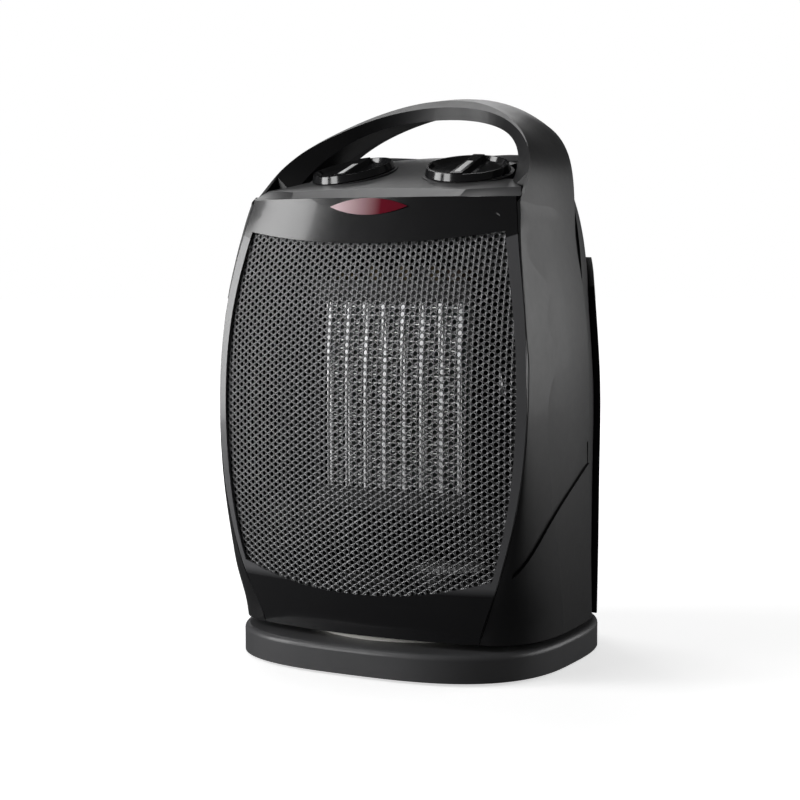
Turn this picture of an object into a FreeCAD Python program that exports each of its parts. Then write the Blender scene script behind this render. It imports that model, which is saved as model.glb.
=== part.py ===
"""Portable ceramic fan heater that swings on a low plinth.

Frame: +Z up, the front grille faces -Y, +X is to the heater's left as it faces the room.
The origin is on the ground under the swing axis, at the middle of the plinth. Millimetres.

The upper housing turns on a hollow spigot in the plinth. A small synchronous motor in its floor drives a
pinion round a ring gear that is fixed in the plinth, so the swing and the pinion keep one ratio.
"""

import FreeCAD
import Part
import functools
import math
import os

V = FreeCAD.Vector

# ---------------------------------------------------------------- driving dimensions
# housing, seen from the front: height and half-width pairs of the outer skin, floor to crown
FLOOR_EDGE_Z = 17.0
SKIN_PROFILE = [
    (17, 80.6), (45, 81.0), (75, 81.3), (105, 81.4), (131, 81.3), (160, 79.5), (188, 75.0), (205, 71.9),
    (219.7, 69.4), (233.6, 65.0), (244.2, 56.8), (252.8, 46.2), (260, 33.0), (264.4, 18.5), (266, 0.0),
]
ARCH_START_Z = 205.0        # above this the skin is the handle's arch
CROWN_Z = 266.0             # crown of the arch at its front edge
# along the depth, evenly spaced: place, width factor and crown height of the arch
ARCH_STATIONS = [
    (-80, 1.0, 266), (-60, 1.0, 266), (-40, 1.0, 266), (-20, 1.0, 266), (0, 1.0, 266), (20, 0.987, 266),
    (40, 0.958, 268.2), (60, 0.91, 265.4), (80, 0.85, 256),
]
# rounded front corners: plan heights, and the heights between which the rounding fades out
CORNER_STATIONS = list(range(5, 216, 15))
CORNER_FADE = (150.0, 206.0)
CORNER_SLOPE = 0.27         # the strips' plan slope, carried on to the corner
CORNER_END_Y, CORNER_OUT = -2.0, 0.5        # the corner curve runs out of the side here
# front face: height, place of its middle, radius of its plan arc
FRONT_STATIONS = [
    (5, -57, 240), (18, -60.6, 240), (47, -67.3, 240), (75, -69.7, 240), (103, -70.2, 240), (131, -69.7, 240),
    (160, -67.2, 240), (188, -61.7, 240), (202, -57.9, 232), (211, -55.6, 212), (218, -54.1, 195),
    (232, -50.5, 180), (280, -36, 150),
]
# facet between the fascia's top edge and the deck: height, place of its middle, radius of its plan arc
FACET_LOW = (217.0, -54.4, 197)
FACET_HIGH = (226.0, -50.4, 101)
# window for the grille, seen from the front: height and half-width of its side, then its middle heights
WINDOW_SIDE = [(47, 64.4), (61, 68.4), (75, 71.3), (89, 73.4), (103, 74.7), (117, 75.4), (131, 75.4),
               (146, 74.8), (160, 73.4), (174, 71.3), (188, 68.6), (202, 65.6)]
WINDOW_TOP_MID_Z = 196.6
WINDOW_BOTTOM_MID_Z = 37.0
# outer edge of the trim strips beside the window
STRIP_SIDE = [(17, 55.6), (30, 61.0), (45, 66.8), (59, 71.0), (73, 74.6), (88, 77.4), (102, 79.0), (116, 79.8),
              (131, 79.9), (145, 79.4), (159, 78.1), (174, 76.1), (188, 73.6), (202, 70.9), (212, 69.0),
              (222, 66.9), (232, 64.6)]
SKIN_WALL = 2.4             # moulded housing walls
FRAME_WALL = 1.8            # front frame wall
GAP = 0.35                  # shut lines between housing parts
# side panel and handle, seen from the side: the front edge above the fascia and the rear edge
FIN_FRONT = [(-36.4, 218.5), (-27.1, 227.1), (-20.2, 233.6), (-13.3, 239.2), (-6.3, 244.2), (0.5, 248.7),
             (6.8, 252.8), (12.2, 256.6), (16.9, 259.9), (21.5, 263.0), (26.0, 266.5), (30.0, 270.5)]
FIN_REAR = [(58.0, 272.0), (59.6, 265.0), (56.5, 257.5), (49.0, 249.5), (39.5, 240.5), (31.5, 231.5),
            (26.0, 221.0), (20.0, 205.0), (16.5, 180.0), (15.0, 145.0), (15.5, 104.0), (18.0, 75.0),
            (22.5, 35.0), (25.5, 10.0)]
# finger opening under the arch, seen from the front, from the foot to the crown: the knife edge, the inner
# ridge behind it, and the wider rear edge
OPENING_EDGE = [(68.9, 208.0), (68.2, 219.7), (66.4, 226.6), (63.7, 233.2), (59.7, 239.2), (54.4, 244.8),
                (44.4, 252.6), (31.5, 258.9), (17.0, 262.9), (0.0, 264.5)]
OPENING_RIDGE = [(57.8, 208.0), (57.2, 219.0), (56.0, 226.2), (54.2, 232.2), (51.2, 238.0), (47.0, 243.0),
                 (39.0, 249.0), (28.0, 253.3), (15.0, 255.8), (0.0, 256.6)]
OPENING_REAR = [(63.0, 208.0), (62.6, 219.3), (61.8, 226.5), (60.2, 232.8), (56.8, 239.0), (52.3, 244.2),
                (43.0, 251.3), (31.0, 256.8), (16.5, 260.6), (0.0, 262.0)]
LEAN = math.radians(38)     # the arch's front edge lies in a plane this far from level
LEAN_Z = 219.7
EDGE_AT, RIDGE_AT, REAR_AT = -36.0, -26.0, 6.0      # where each of the three leaning planes meets LEAN_Z
# control deck, evenly spaced: place and height of its middle line, and its crown radius across
DECK_STATIONS = [(-70, 215.0, 2200), (-55, 219.0, 1800), (-40, 222.6, 1000), (-25, 226.8, 560), (-10, 231.3, 380),
                 (5, 236.0, 300), (20, 238.3, 280), (35, 236.4, 280), (50, 231.4, 280), (65, 223.0, 280)]
DECK_T = 3.2
DECK_REAR_Y = 24.0
FRAME_TOP_Z = 217.25         # the deck laps over the frame here
LIP_HALF = 43.0             # lip over the indicator
LIP_FRONT_Y = -56.0
LIP_END_Y = -46.0
# rear housing: place, width factor, top height, down to the flat back
REAR_STATIONS = [(6, 0.99, 236.6), (20, 0.972, 238.0), (34, 0.925, 236.0), (48, 0.845, 229.0), (59, 0.76, 218.0),
                 (66, 0.66, 205.0), (68, 0.58, 194.0)]
COVER_PROUD = 2.6           # the intake cover stands this far outside the rear housing
COVER_WALL = 2.2
COVER_BACK_Y = 70.4
COVER_Z = (17.6, 190.0)
COVER_FRONT_Y = 33.0
COVER_SLANT = (16.0, 15.0)   # depth and height of the slope at the cover's top front corners

# plinth
PLINTH_A, PLINTH_B, PLINTH_POWER = 81.5, 72.0, 2.9
PLINTH_Z = (1.2, 14.0)
PLINTH_WALL = 2.2
PLINTH_EDGE_R = 2.4
PLATE_T = 1.6
WELL_R, WELL_FLOOR_Z, WELL_FLOOR_T = 42.0, 8.0, 2.0
SPIGOT_R, SPIGOT_BORE_R, PIVOT_CLEARANCE = 12.0, 8.5, 0.06
SPIGOT_END_Z = 5.7
FOOT_R = 8.0
FEET_AT = [(54, -40), (-54, -40), (54, 40), (-54, 40)]
BOSSES_AT = [(64, -22), (-64, -22), (64, 22), (-64, 22)]
GLAND_BORE_R, GLAND_R, GLAND_FLANGE_R, GLAND_Z, GLAND_INSIDE = 3.5, 4.4, 5.2, 7.3, 12.0
GLAND_FLANGE_T = 2.0

# swing drive
GEAR_MODULE, RING_TEETH, PINION_TEETH, GEAR_FACE = 1.0, 46, 14, 4.0
ADDENDUM, DEDENDUM, BACKLASH = 0.9, 1.25, 0.14
PRESSURE = math.radians(20)
DRIVE_Y = GEAR_MODULE * (RING_TEETH + PINION_TEETH) / 2
RING_BORE_R = 14.0
SWING_MOTOR_R, SWING_MOTOR_H = 20.5, 15.0
DRIVE_SHAFT_R = 2.5

# tip-over switch
PLUNGER_AT = (-40, -46)
PLUNGER_R, PLUNGER_FLANGE_R, PLUNGER_TRAVEL = 2.4, 4.2, 3.4

# heating element, fan and duct
CORE_Z, CORE_HALF_H, CORE_FRONT_Y, CORE_DEPTH = 125.0, 44.0, -30.0, 24.0
PLATE_PITCH, PLATE_COUNT, PLATE_W = 9.9, 8, 2.3
FIN_PITCH, FIN_T = 4.0, 0.5
END_CAP_H, END_CAP_SIDE = 8.0, 4.0
DUCT_Y, DUCT_T = 0.0, 2.0
DUCT_HALF_W, DUCT_Z = 72.0, (66.0, 184.0)
TUBE_R, TUBE_WALL, TUBE_LENGTH = 46.0, 2.0, 30.0
FAN_R, FAN_HUB_R, FAN_Y, FAN_DEPTH, FAN_BLADES = 43.5, 13.0, 8.0, 17.0, 7
FAN_SHAFT_R = 1.6
FAN_MOTOR_R, FAN_MOTOR_Y, FAN_MOTOR_L = 17.0, 38.0, 22.0

# controls
KNOB_X, KNOB_Y = 30.4, -12.8
SEAT_R, SEAT_H = 21.6, 0.35                 # low round seat on the deck under each knob
KNOB_R, KNOB_TOP_R = 20.2, 19.2
KNOB_BASE_Z, KNOB_TOP_Z, KNOB_FLOOR_T = 0.85, 4.0, 1.0
DISH_R, DISH_FLOOR_R, DISH_Z = 18.2, 17.0, 2.0
GRIP_W, GRIP_TOP_W, GRIP_TOP_Z = 9.0, 5.4, 4.6
KNOB_TURN = 8.0                             # how far both knobs are turned at rest, degrees
SHAFT_R, SHAFT_COVER = 3.0, 1.3
NUT_BASE_Z, NUT_TOP_Z, NUT_R, NUT_WELL_R = -1.5, 0.5, 6.4, 7.4
POINTER_W, POINTER_T, POINTER_Y = 2.8, 0.5, (-15.8, 4.5)
BUSH_R, SHAFT_CLEARANCE, SHAFT_FOOT_Z, CASE_TOP_Z = 4.4, 0.06, -16.0, -4.6
INDICATOR_HALF, INDICATOR_H, INDICATOR_Z = 20.0, 7.6, 213.2
LENS_PLAY = 0.15
BROW_HALF, BROW_TOP_Z, BROW_LOW_Z, BROW_DEPTH = 32.0, 217.6, 209.2, 0.9
LAMP_R, LAMP_Y, LAMP_FOOT_Y = 2.4, -46.8, -53.9

# fits, fixings and small stock sizes
SEAM = 0.15                 # between the deck and the frame below it
LAP_DEPTH = 3.8             # how far behind the front face the deck is cut away for the frame and the lens
OPENING_PLAY = 0.35         # between the deck and the housing's legs
CAVITY_TOP_Z = 214.0
PLATE_TOP_Z = 19.6          # top of the housing's floor plate
FLOOR_PLAY = 0.25           # round the floor plate
SCREW_R, PILOT_R, BOSS_R = 1.5, 1.5, 3.6
HOUSING_BOSS_X, HOUSING_BOSS_Y, HOUSING_BOSS_H = 61.0, (-30.0, 6.0), 14.0
FRAME_BOSSES = [(50, 26), (-50, 26), (60, 207), (-60, 207)]
FRAME_BOSS_L = 9.0
GRILLE_T, GRILLE_LAP, RETAINER_T, RETAINER_W = 0.8, 2.6, 1.6, 2.2
SKIRT_Y, SKIRT_TOP_Z = (10.0, 27.0), 190.0
INTAKE_WINDOW = (40.0, 52.0, 176.0)         # half-width, low and high edge
COVER_SCREWS = [(30, 36), (-30, 36), (30, 184), (-30, 184)]
COVER_BOSS_Y = 52.0
COVER_PLAY = 0.3
SLOT_PITCH, SLOT_H = 7.0, 3.6
SLOT_SPANS = [(-38, -13.5), (-11.5, 11.5), (13.5, 38)]
SWITCH_X, SWITCH_Z, SWITCH_W, SWITCH_H = 0.0, 36.0, 13.0, 19.0
ROCKER_TILT, ROCKER_PIVOT = 8.0, 1.5
RIB_T, RIB_LAP, SLOT_PLAY = 1.8, 3.0, 0.1
CORE_MID_Y = CORE_FRONT_Y + CORE_DEPTH / 2
TERMINAL_PITCH, CUTOUT_X = 16.0, 30.0
GLIDE_R, GLIDE_W, GLIDE_PLAY = 52.0, 6.0, 0.1
RING_SCREW_R, RING_SCREW_ANGLES = 17.6, [math.radians(a) for a in (0, 120, 240)]
RETAINER_R, RETAINER_H, RETAINER_SCREW_R = 17.0, 1.5, 10.25
RETAINER_ANGLES = [math.radians(a) for a in (30, 150, 270)]
MOTOR_LUG_X, LUG_T, DRIVE_SHAFT_TOP_Z = 26.0, 1.5, 28.0
FOOT_PEG_R = 2.5
PLUNGER_FOOT_Z, PLUNGER_FLANGE_Z, PLUNGER_FLANGE_T, PLUNGER_TAIL_R = 0.1, 6.4, 0.7, 1.6
PLUNGER_CLEARANCE = 0.05
TERMINAL_AT = (-40.0, 18.0)
# side channel: place and height along its upper and lower line, from the rear edge forward
CHANNEL_TOP = [(30, 112), (14, 104), (-4, 97.5), (-21, 88), (-35.5, 78), (-46, 66), (-55, 52)]
CHANNEL_LOW = [(30, 95.5), (13, 92), (-1.5, 86), (-19, 77.6), (-30.5, 71), (-42, 62), (-55, 48.5)]
CHANNEL_DEPTH = 1.2


# ---------------------------------------------------------------- small helpers
def spline_edge(points):
    curve = Part.BSplineCurve()
    curve.interpolate(points)
    return curve.toShape()


def polygon(points):
    return Part.makePolygon(list(points) + [points[0]])


def slab(wire, vector):
    return Part.Face(wire).extrude(vector)


def box(x0, x1, y0, y1, z0, z1):
    return Part.makeBox(x1 - x0, y1 - y0, z1 - z0, V(x0, y0, z0))


def cyl(radius, start, axis, length):
    return Part.makeCylinder(radius, length, V(*start), V(*axis))


def tube(outer, inner, start, axis, length):
    return cyl(outer, start, axis, length).cut(cyl(inner, start, axis, length))


def fuse(parts):
    return parts[0].multiFuse(parts[1:]) if len(parts) > 1 else parts[0]


def group(solids):
    return Part.makeCompound(solids)


def mirror_x(shape):
    return shape.mirror(V(0, 0, 0), V(1, 0, 0))


def biggest(shape):
    return max(shape.Solids, key=lambda s: s.Volume)


def between(table, at):
    """Straight-line lookup in a table of (place, value)."""
    for (a, va), (b, vb) in zip(table, table[1:]):
        if at <= b:
            return va + (vb - va) * (at - a) / (b - a)
    return table[-1][1]


def oval(a, b, z, power=PLINTH_POWER, count=28):
    """Closed wire of a rounded oval, by the superellipse formula."""
    points = []
    for i in range(count):
        t = 2 * math.pi * i / count
        c, s = math.cos(t), math.sin(t)
        points.append(V(a * math.copysign(abs(c) ** (2 / power), c), b * math.copysign(abs(s) ** (2 / power), s), z))
    curve = Part.BSplineCurve()
    curve.interpolate(points, True)
    return Part.Wire([curve.toShape()])


def oval_slab(a, b, z0, z1):
    return slab(oval(a, b, z0), V(0, 0, z1 - z0))


def screw(start, axis, shank_r, shank_l, head_r, head_h):
    """Pan-head screw: start is under the head, axis points from the head to the tip."""
    direction = V(*axis)
    head = Part.makeCylinder(head_r, head_h, V(*start) - direction * head_h, direction)
    slot_depth = head_h * 0.45
    cross = Part.makeCylinder(head_r * 0.42, slot_depth, V(*start) - direction * head_h, direction)
    return head.cut(cross).fuse(Part.makeCylinder(shank_r, shank_l, V(*start), direction))


# ---------------------------------------------------------------- large shapes that the housing is cut from
def skin_half_width(z):
    return between(SKIN_PROFILE, z)


def arch_section(y, factor, crown, inset=0.0):
    """Closed front-view outline of the skin at one depth."""
    stretch = (crown - ARCH_START_Z) / (CROWN_Z - ARCH_START_Z)
    right = []
    for z, x in SKIN_PROFILE:
        height = z if z <= ARCH_START_Z else ARCH_START_Z + (z - ARCH_START_Z) * stretch
        right.append(V(max(x * factor - inset, 0), y, height))
    left = [V(-p.x, p.y, p.z) for p in reversed(right[:-1])]
    return Part.Wire([spline_edge(right + left), Part.makeLine(left[-1], right[0])])


def corner_section(z, inset):
    """Plan of the rounded front corners at one height, from the strips' outer edges round to the sides."""
    side = skin_half_width(z) - inset
    fade = min(max((z - CORNER_FADE[0]) / (CORNER_FADE[1] - CORNER_FADE[0]), 0.0), 1.0)
    x0 = between(STRIP_SIDE, z) - inset
    x0 += (side - x0) * fade * 0.9
    y0 = front_face_y(x0, z) + inset
    corner = y0 + (side - x0) * CORNER_SLOPE
    poles = [V(x0, y0, z), V(x0 + 0.78 * (side - x0), y0 + 0.78 * (corner - y0), z),
             V(side + CORNER_OUT / 3, corner + 0.27 * (CORNER_END_Y - corner), z), V(side + CORNER_OUT, CORNER_END_Y, z)]
    wires = []
    for sign in (1, -1):
        curve = Part.BezierCurve()
        curve.setPoles([V(sign * p.x, p.y, z) for p in poles])
        wires.append(curve.toShape())
    end, start = poles[-1], poles[0]
    right = [V(start.x, -95, z), start]
    back = [end, V(end.x + 4, 130, z), V(-end.x - 4, 130, z), V(-end.x, end.y, z)]
    left = [V(-start.x, start.y, z), V(-start.x, -95, z), right[0]]
    lines = [Part.makeLine(a, b) for chain in (right, back, left) for a, b in zip(chain, chain[1:])]
    return Part.Wire([lines[0], wires[0]] + lines[1:4] + [wires[1]] + lines[4:])


@functools.lru_cache(None)
def corner_solid(inset=0.0):
    """Space inside the rounded front corners of the side panels."""
    return Part.makeLoft([corner_section(z, inset) for z in CORNER_STATIONS], True, False, False, 3)


@functools.lru_cache(None)
def arch_solid(inset=0.0):
    arch = Part.makeLoft([arch_section(*station, inset) for station in ARCH_STATIONS], True, False, False, 3)
    upper = arch.common(box(-100, 100, -100, 100, CORNER_STATIONS[-1], 300))
    return arch.common(corner_solid(inset)).fuse(upper).removeSplitter()


def front_section(z, middle, radius):
    """Everything behind the front face at one height."""
    half = 95.0
    end = middle + radius - math.sqrt(radius ** 2 - half ** 2)
    arc = Part.Arc(V(-half, end, z), V(0, middle, z), V(half, end, z)).toShape()
    corners = [V(half, end, z), V(half, 130, z), V(-half, 130, z), V(-half, end, z)]
    return Part.Wire([arc] + [Part.makeLine(a, b) for a, b in zip(corners, corners[1:])])


@functools.lru_cache(None)
def front_solid(back=0.0):
    """Space behind the front face, moved back by so much."""
    return Part.makeLoft([front_section(z, y + back, r) for z, y, r in FRONT_STATIONS], True, False)


@functools.lru_cache(None)
def facet_solid():
    """Space behind the sloped facet that joins the fascia's top edge to the deck."""
    below = box(-95, 95, -100, 130, 0, FACET_LOW[0])
    return Part.makeLoft([front_section(*FACET_LOW), front_section(*FACET_HIGH)], True, True).fuse(below)


def front_face_y(x, z):
    middle = between([(s[0], s[1]) for s in FRONT_STATIONS], z)
    radius = between([(s[0], s[2]) for s in FRONT_STATIONS], z)
    return middle + radius - math.sqrt(radius ** 2 - x ** 2)


def deck_section(y, top, radius):
    half = 95.0
    side = top - (radius - math.sqrt(radius ** 2 - half ** 2))
    arc = Part.Arc(V(-half, y, side), V(0, y, top), V(half, y, side)).toShape()
    corners = [V(half, y, side), V(half, y, -20), V(-half, y, -20), V(-half, y, side)]
    return Part.Wire([arc] + [Part.makeLine(a, b) for a, b in zip(corners, corners[1:])])


@functools.lru_cache(None)
def deck_solid(down=0.0):
    """Space under the deck's surface, lowered by so much."""
    return Part.makeLoft([deck_section(y, z - down, r) for y, z, r in DECK_STATIONS], True, False, False, 3)


@functools.lru_cache(None)
def fin_prism(grow=0.0):
    """Side-view outline of side panels and handle, through the whole width. Grow moves only the rear edge."""
    half = 100.0
    rear = [(y + grow, z) for y, z in FIN_REAR]
    front = spline_edge([V(-half, y, z) for y, z in FIN_FRONT])
    back = spline_edge([V(-half, y, z) for y, z in rear])
    low_z = FIN_REAR[-1][1]
    top = Part.makeLine(V(-half, *FIN_FRONT[-1]), V(-half, *rear[0]))
    far = [V(-half, rear[-1][0], low_z), V(-half, -90, low_z), V(-half, -90, FIN_FRONT[0][1]),
           V(-half, *FIN_FRONT[0])]
    lines = [Part.makeLine(a, b) for a, b in zip(far, far[1:])]
    return slab(Part.Wire([front, top, back] + lines), V(2 * half, 0, 0))


def lean_wire(outline, at):
    """The opening's outline laid in a plane that leans back with the arch."""
    def place(x, z):
        return V(x, at + (z - LEAN_Z) / math.tan(LEAN), z)
    right = [place(x, z) for x, z in outline]
    left = [V(-p.x, p.y, p.z) for p in reversed(right[:-1])]
    return Part.Wire([spline_edge(right + left), Part.makeLine(left[-1], right[0])])


@functools.lru_cache(None)
def opening_solid(shrink=0.0):
    """Finger opening: a bevel from the knife edge in to the ridge, then a flare out to the rear edge."""
    edge, ridge, rear = ([(x * (1 - shrink / 62.0), z) for x, z in outline]
                         for outline in (OPENING_EDGE, OPENING_RIDGE, OPENING_REAR))
    reach = 1.0
    ahead = [(e[0] + reach * (e[0] - r[0]), e[1] + reach * (e[1] - r[1])) for e, r in zip(edge, ridge)]
    front_at = EDGE_AT - reach * (RIDGE_AT - EDGE_AT)
    bevel = Part.makeLoft([lean_wire(ahead, front_at), lean_wire(ridge, RIDGE_AT)], True, True)
    flare = Part.makeLoft([lean_wire(ridge, RIDGE_AT), lean_wire(rear, REAR_AT)], True, True)
    return fuse([bevel, flare, slab(lean_wire(rear, REAR_AT), V(0, 90, 0))])


def side_table_prism(table, grow, z_low, z_high, top_mid, bottom_mid, y0=-100.0, depth=75.0):
    """Front-view outline with curved sides, top and bottom, pushed back along Y."""
    right = [V(x + grow, y0, z) for z, x in table]
    right[0] = V(right[0].x, y0, z_low)
    right[-1] = V(right[-1].x, y0, z_high)
    left = [V(-p.x, p.y, p.z) for p in reversed(right)]
    if bottom_mid is None:
        bottom = Part.makeLine(left[-1], right[0])
    else:
        bottom = Part.Arc(left[-1], V(0, y0, bottom_mid), right[0]).toShape()
    if top_mid is None:
        top = Part.makeLine(right[-1], left[0])
    else:
        top = Part.Arc(right[-1], V(0, y0, top_mid), left[0]).toShape()
    wire = Part.Wire([spline_edge(right), top, spline_edge(left), bottom])
    return slab(wire, V(0, depth, 0))


@functools.lru_cache(None)
def window_prism(grow):
    return side_table_prism(WINDOW_SIDE, grow, WINDOW_SIDE[0][0] - grow, WINDOW_SIDE[-1][0] + grow,
                            WINDOW_TOP_MID_Z + grow, WINDOW_BOTTOM_MID_Z - grow)


@functools.lru_cache(None)
def frame_prism(grow):
    return side_table_prism(STRIP_SIDE, grow, FLOOR_EDGE_Z - 1, STRIP_SIDE[-1][0], None, None)


def rear_section(y, factor, top, proud=0.0, floor_z=FLOOR_EDGE_Z):
    """Front-view outline of the rear housing at one depth: the skin's width under a domed top."""
    shoulder = top - 26.0
    right = [V(skin_half_width(z) * factor + proud, y, z) for z in (floor_z, 50, 90, 130, 165)]
    right.append(V(skin_half_width(shoulder) * factor * 1.02 + proud, y, shoulder))
    right.append(V(skin_half_width(shoulder) * factor * 0.90 + proud, y, top - 8 + proud))
    right.append(V(0, y, top + proud))
    left = [V(-p.x, p.y, p.z) for p in reversed(right[:-1])]
    return Part.Wire([spline_edge(right + left), Part.makeLine(left[-1], right[0])])


@functools.lru_cache(None)
def rear_solid(proud=0.0, back=0.0, floor_z=FLOOR_EDGE_Z):
    return Part.makeLoft([rear_section(y + (back if i else 0), f, t, proud, floor_z)
                          for i, (y, f, t) in enumerate(REAR_STATIONS)], True, False)


# ---------------------------------------------------------------- housing parts
def main_housing():
    """Side panels and arched handle in one moulding, open at front, rear and floor."""
    outer = arch_solid().common(front_solid()).common(fin_prism())
    cavity = arch_solid(SKIN_WALL).common(front_solid(SKIN_WALL)).common(box(-100, 100, -100, 100, 0, CAVITY_TOP_Z))
    front_above_deck = box(-100, 100, -100, FIN_FRONT[0][0], 200, 260).cut(deck_solid())
    body = outer.cut(box(-100, 100, -100, 100, 0, FLOOR_EDGE_Z))
    body = body.cut(cavity).cut(frame_prism(GAP)).cut(opening_solid()).cut(front_above_deck).cut(side_channel())
    inner_skin = arch_solid(SKIN_WALL - 0.6)
    for side in (1, -1):
        for y0, y1 in ((DUCT_Y - DUCT_T - SLOT_PLAY - RIB_T, DUCT_Y - DUCT_T - SLOT_PLAY),
                       (DUCT_Y + SLOT_PLAY, DUCT_Y + SLOT_PLAY + RIB_T)):
            rib = box(DUCT_HALF_W - RIB_LAP, 90, y0, y1, *DUCT_Z).common(inner_skin)
            body = body.fuse(rib if side > 0 else mirror_x(rib))
        for y in HOUSING_BOSS_Y:
            x = side * HOUSING_BOSS_X
            boss = cyl(BOSS_R, (x, y, PLATE_TOP_Z), (0, 0, 1), HOUSING_BOSS_H)
            web = box(min(x, x + side * 9), max(x, x + side * 9), y - 1, y + 1, PLATE_TOP_Z,
                      PLATE_TOP_Z + HOUSING_BOSS_H).common(inner_skin)
            body = body.fuse(boss.fuse(web)).cut(cyl(PILOT_R, (x, y, PLATE_TOP_Z), (0, 0, 1), HOUSING_BOSS_H - 2))
    return biggest(body)


def side_channel():
    """Shallow channel across each side panel, pinched to a point towards the front."""
    def edge(points):
        return spline_edge([V(-100, y, z) for y, z in points])
    top, low = edge(CHANNEL_TOP), edge(CHANNEL_LOW)
    ends = [Part.makeLine(V(-100, *CHANNEL_TOP[0]), V(-100, *CHANNEL_LOW[0]))]
    if CHANNEL_TOP[-1] != CHANNEL_LOW[-1]:
        ends.append(Part.makeLine(V(-100, *CHANNEL_TOP[-1]), V(-100, *CHANNEL_LOW[-1])))
    tool = slab(Part.Wire(Part.sortEdges([top, low] + ends)[0]), V(200, 0, 0))
    return tool.cut(arch_solid(CHANNEL_DEPTH))


def front_layer(outside, inside, region):
    """The part of a region that lies between two offsets of the front face."""
    return region.common(front_solid(outside)).cut(front_solid(inside))


def eye_prism(half, height, mid_z, lift=0.0):
    """Pointed oval, seen from the front: two arcs that meet at its corners."""
    left, right = V(-half, -90, mid_z + lift), V(half, -90, mid_z + lift)
    upper = Part.Arc(left, V(0, -90, mid_z + height / 2), right).toShape()
    lower = Part.Arc(right, V(0, -90, mid_z - height / 2), left).toShape()
    return slab(Part.Wire([upper, lower]), V(0, 60, 0))


def front_frame():
    """Fascia over the window, trim strips beside it and the apron below it."""
    below_deck = box(-90, 90, -100, -30, FLOOR_EDGE_Z, FRAME_TOP_Z)
    region = frame_prism(0).common(below_deck).cut(window_prism(0))
    shell = biggest(front_layer(0, FRAME_WALL, region).common(arch_solid(0.25)).common(facet_solid()))
    brow = eye_prism(BROW_HALF, 2 * (BROW_TOP_Z - BROW_LOW_Z), BROW_TOP_Z)
    pocket = front_layer(BROW_DEPTH, FRAME_WALL + BROW_DEPTH, brow.common(below_deck))
    shell = shell.cut(brow.cut(front_solid(BROW_DEPTH))).fuse(pocket)
    shell = shell.cut(eye_prism(INDICATOR_HALF + LENS_PLAY, INDICATOR_H + 2 * LENS_PLAY, INDICATOR_Z))
    for x, z in FRAME_BOSSES:
        y = front_face_y(x, z) + FRAME_WALL - 0.6
        boss = cyl(BOSS_R - 0.6, (x, y, z), (0, 1, 0), FRAME_BOSS_L)
        shell = shell.fuse(boss).cut(cyl(PILOT_R, (x, y + 3, z), (0, 1, 0), FRAME_BOSS_L))
    return biggest(shell)


def front_grille():
    back = FRAME_WALL + 0.05
    return biggest(front_layer(back, back + GRILLE_T, window_prism(GRILLE_LAP)))


def grille_retainer():
    """Rim behind the grille that holds its edge against the frame."""
    back = FRAME_WALL + 0.05 + GRILLE_T + 0.05
    ring = front_layer(back, back + RETAINER_T, window_prism(GRILLE_LAP).cut(window_prism(-RETAINER_W)))
    for x, z in FRAME_BOSSES:
        ring = ring.cut(cyl(BOSS_R + 0.2, (x, -90, z), (0, 1, 0), 60))
    return biggest(ring)


def indicator_lens():
    outline = eye_prism(INDICATOR_HALF, INDICATOR_H, INDICATOR_Z)
    return biggest(front_layer(BROW_DEPTH - 0.7, FRAME_WALL + BROW_DEPTH + 0.8, outline))


def rear_shell():
    """Rear half of the housing with its window for the intake cover."""
    outer, inner = rear_solid(), rear_solid(-SKIN_WALL, -SKIN_WALL)
    behind = box(-100, 100, 0, 100, FLOOR_EDGE_Z, 260).cut(fin_prism(GAP))
    under_arch = opening_solid(OPENING_PLAY).common(box(-100, 100, DECK_REAR_Y + GAP, 100, 200, 300))
    shell = outer.cut(inner).common(behind.fuse(under_arch).removeSplitter())
    return shell


def switch_hole(play):
    return box(SWITCH_X - SWITCH_W / 2 - play, SWITCH_X + SWITCH_W / 2 + play, 55, 100,
               SWITCH_Z - SWITCH_H / 2 - play, SWITCH_Z + SWITCH_H / 2 + play)


def rear_housing():
    shell = rear_shell()
    skirt = arch_solid(SKIN_WALL + 0.3).cut(arch_solid(SKIN_WALL + 2.1))
    skirt = skirt.common(box(-100, 100, SKIRT_Y[0], SKIRT_Y[1], FLOOR_EDGE_Z + 8, SKIRT_TOP_Z))
    shell = shell.fuse(skirt)
    half, z0, z1 = INTAKE_WINDOW
    shell = shell.cut(box(-half, half, 40, 100, z0, z1)).cut(switch_hole(1.5))
    for x, z in COVER_SCREWS:
        boss = cyl(BOSS_R, (x, COVER_BOSS_Y, z), (0, 1, 0), 62 - COVER_BOSS_Y + 3)
        shell = shell.fuse(boss).cut(cyl(PILOT_R, (x, COVER_BOSS_Y + 2, z), (0, 1, 0), 40))
    return biggest(shell)


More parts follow.
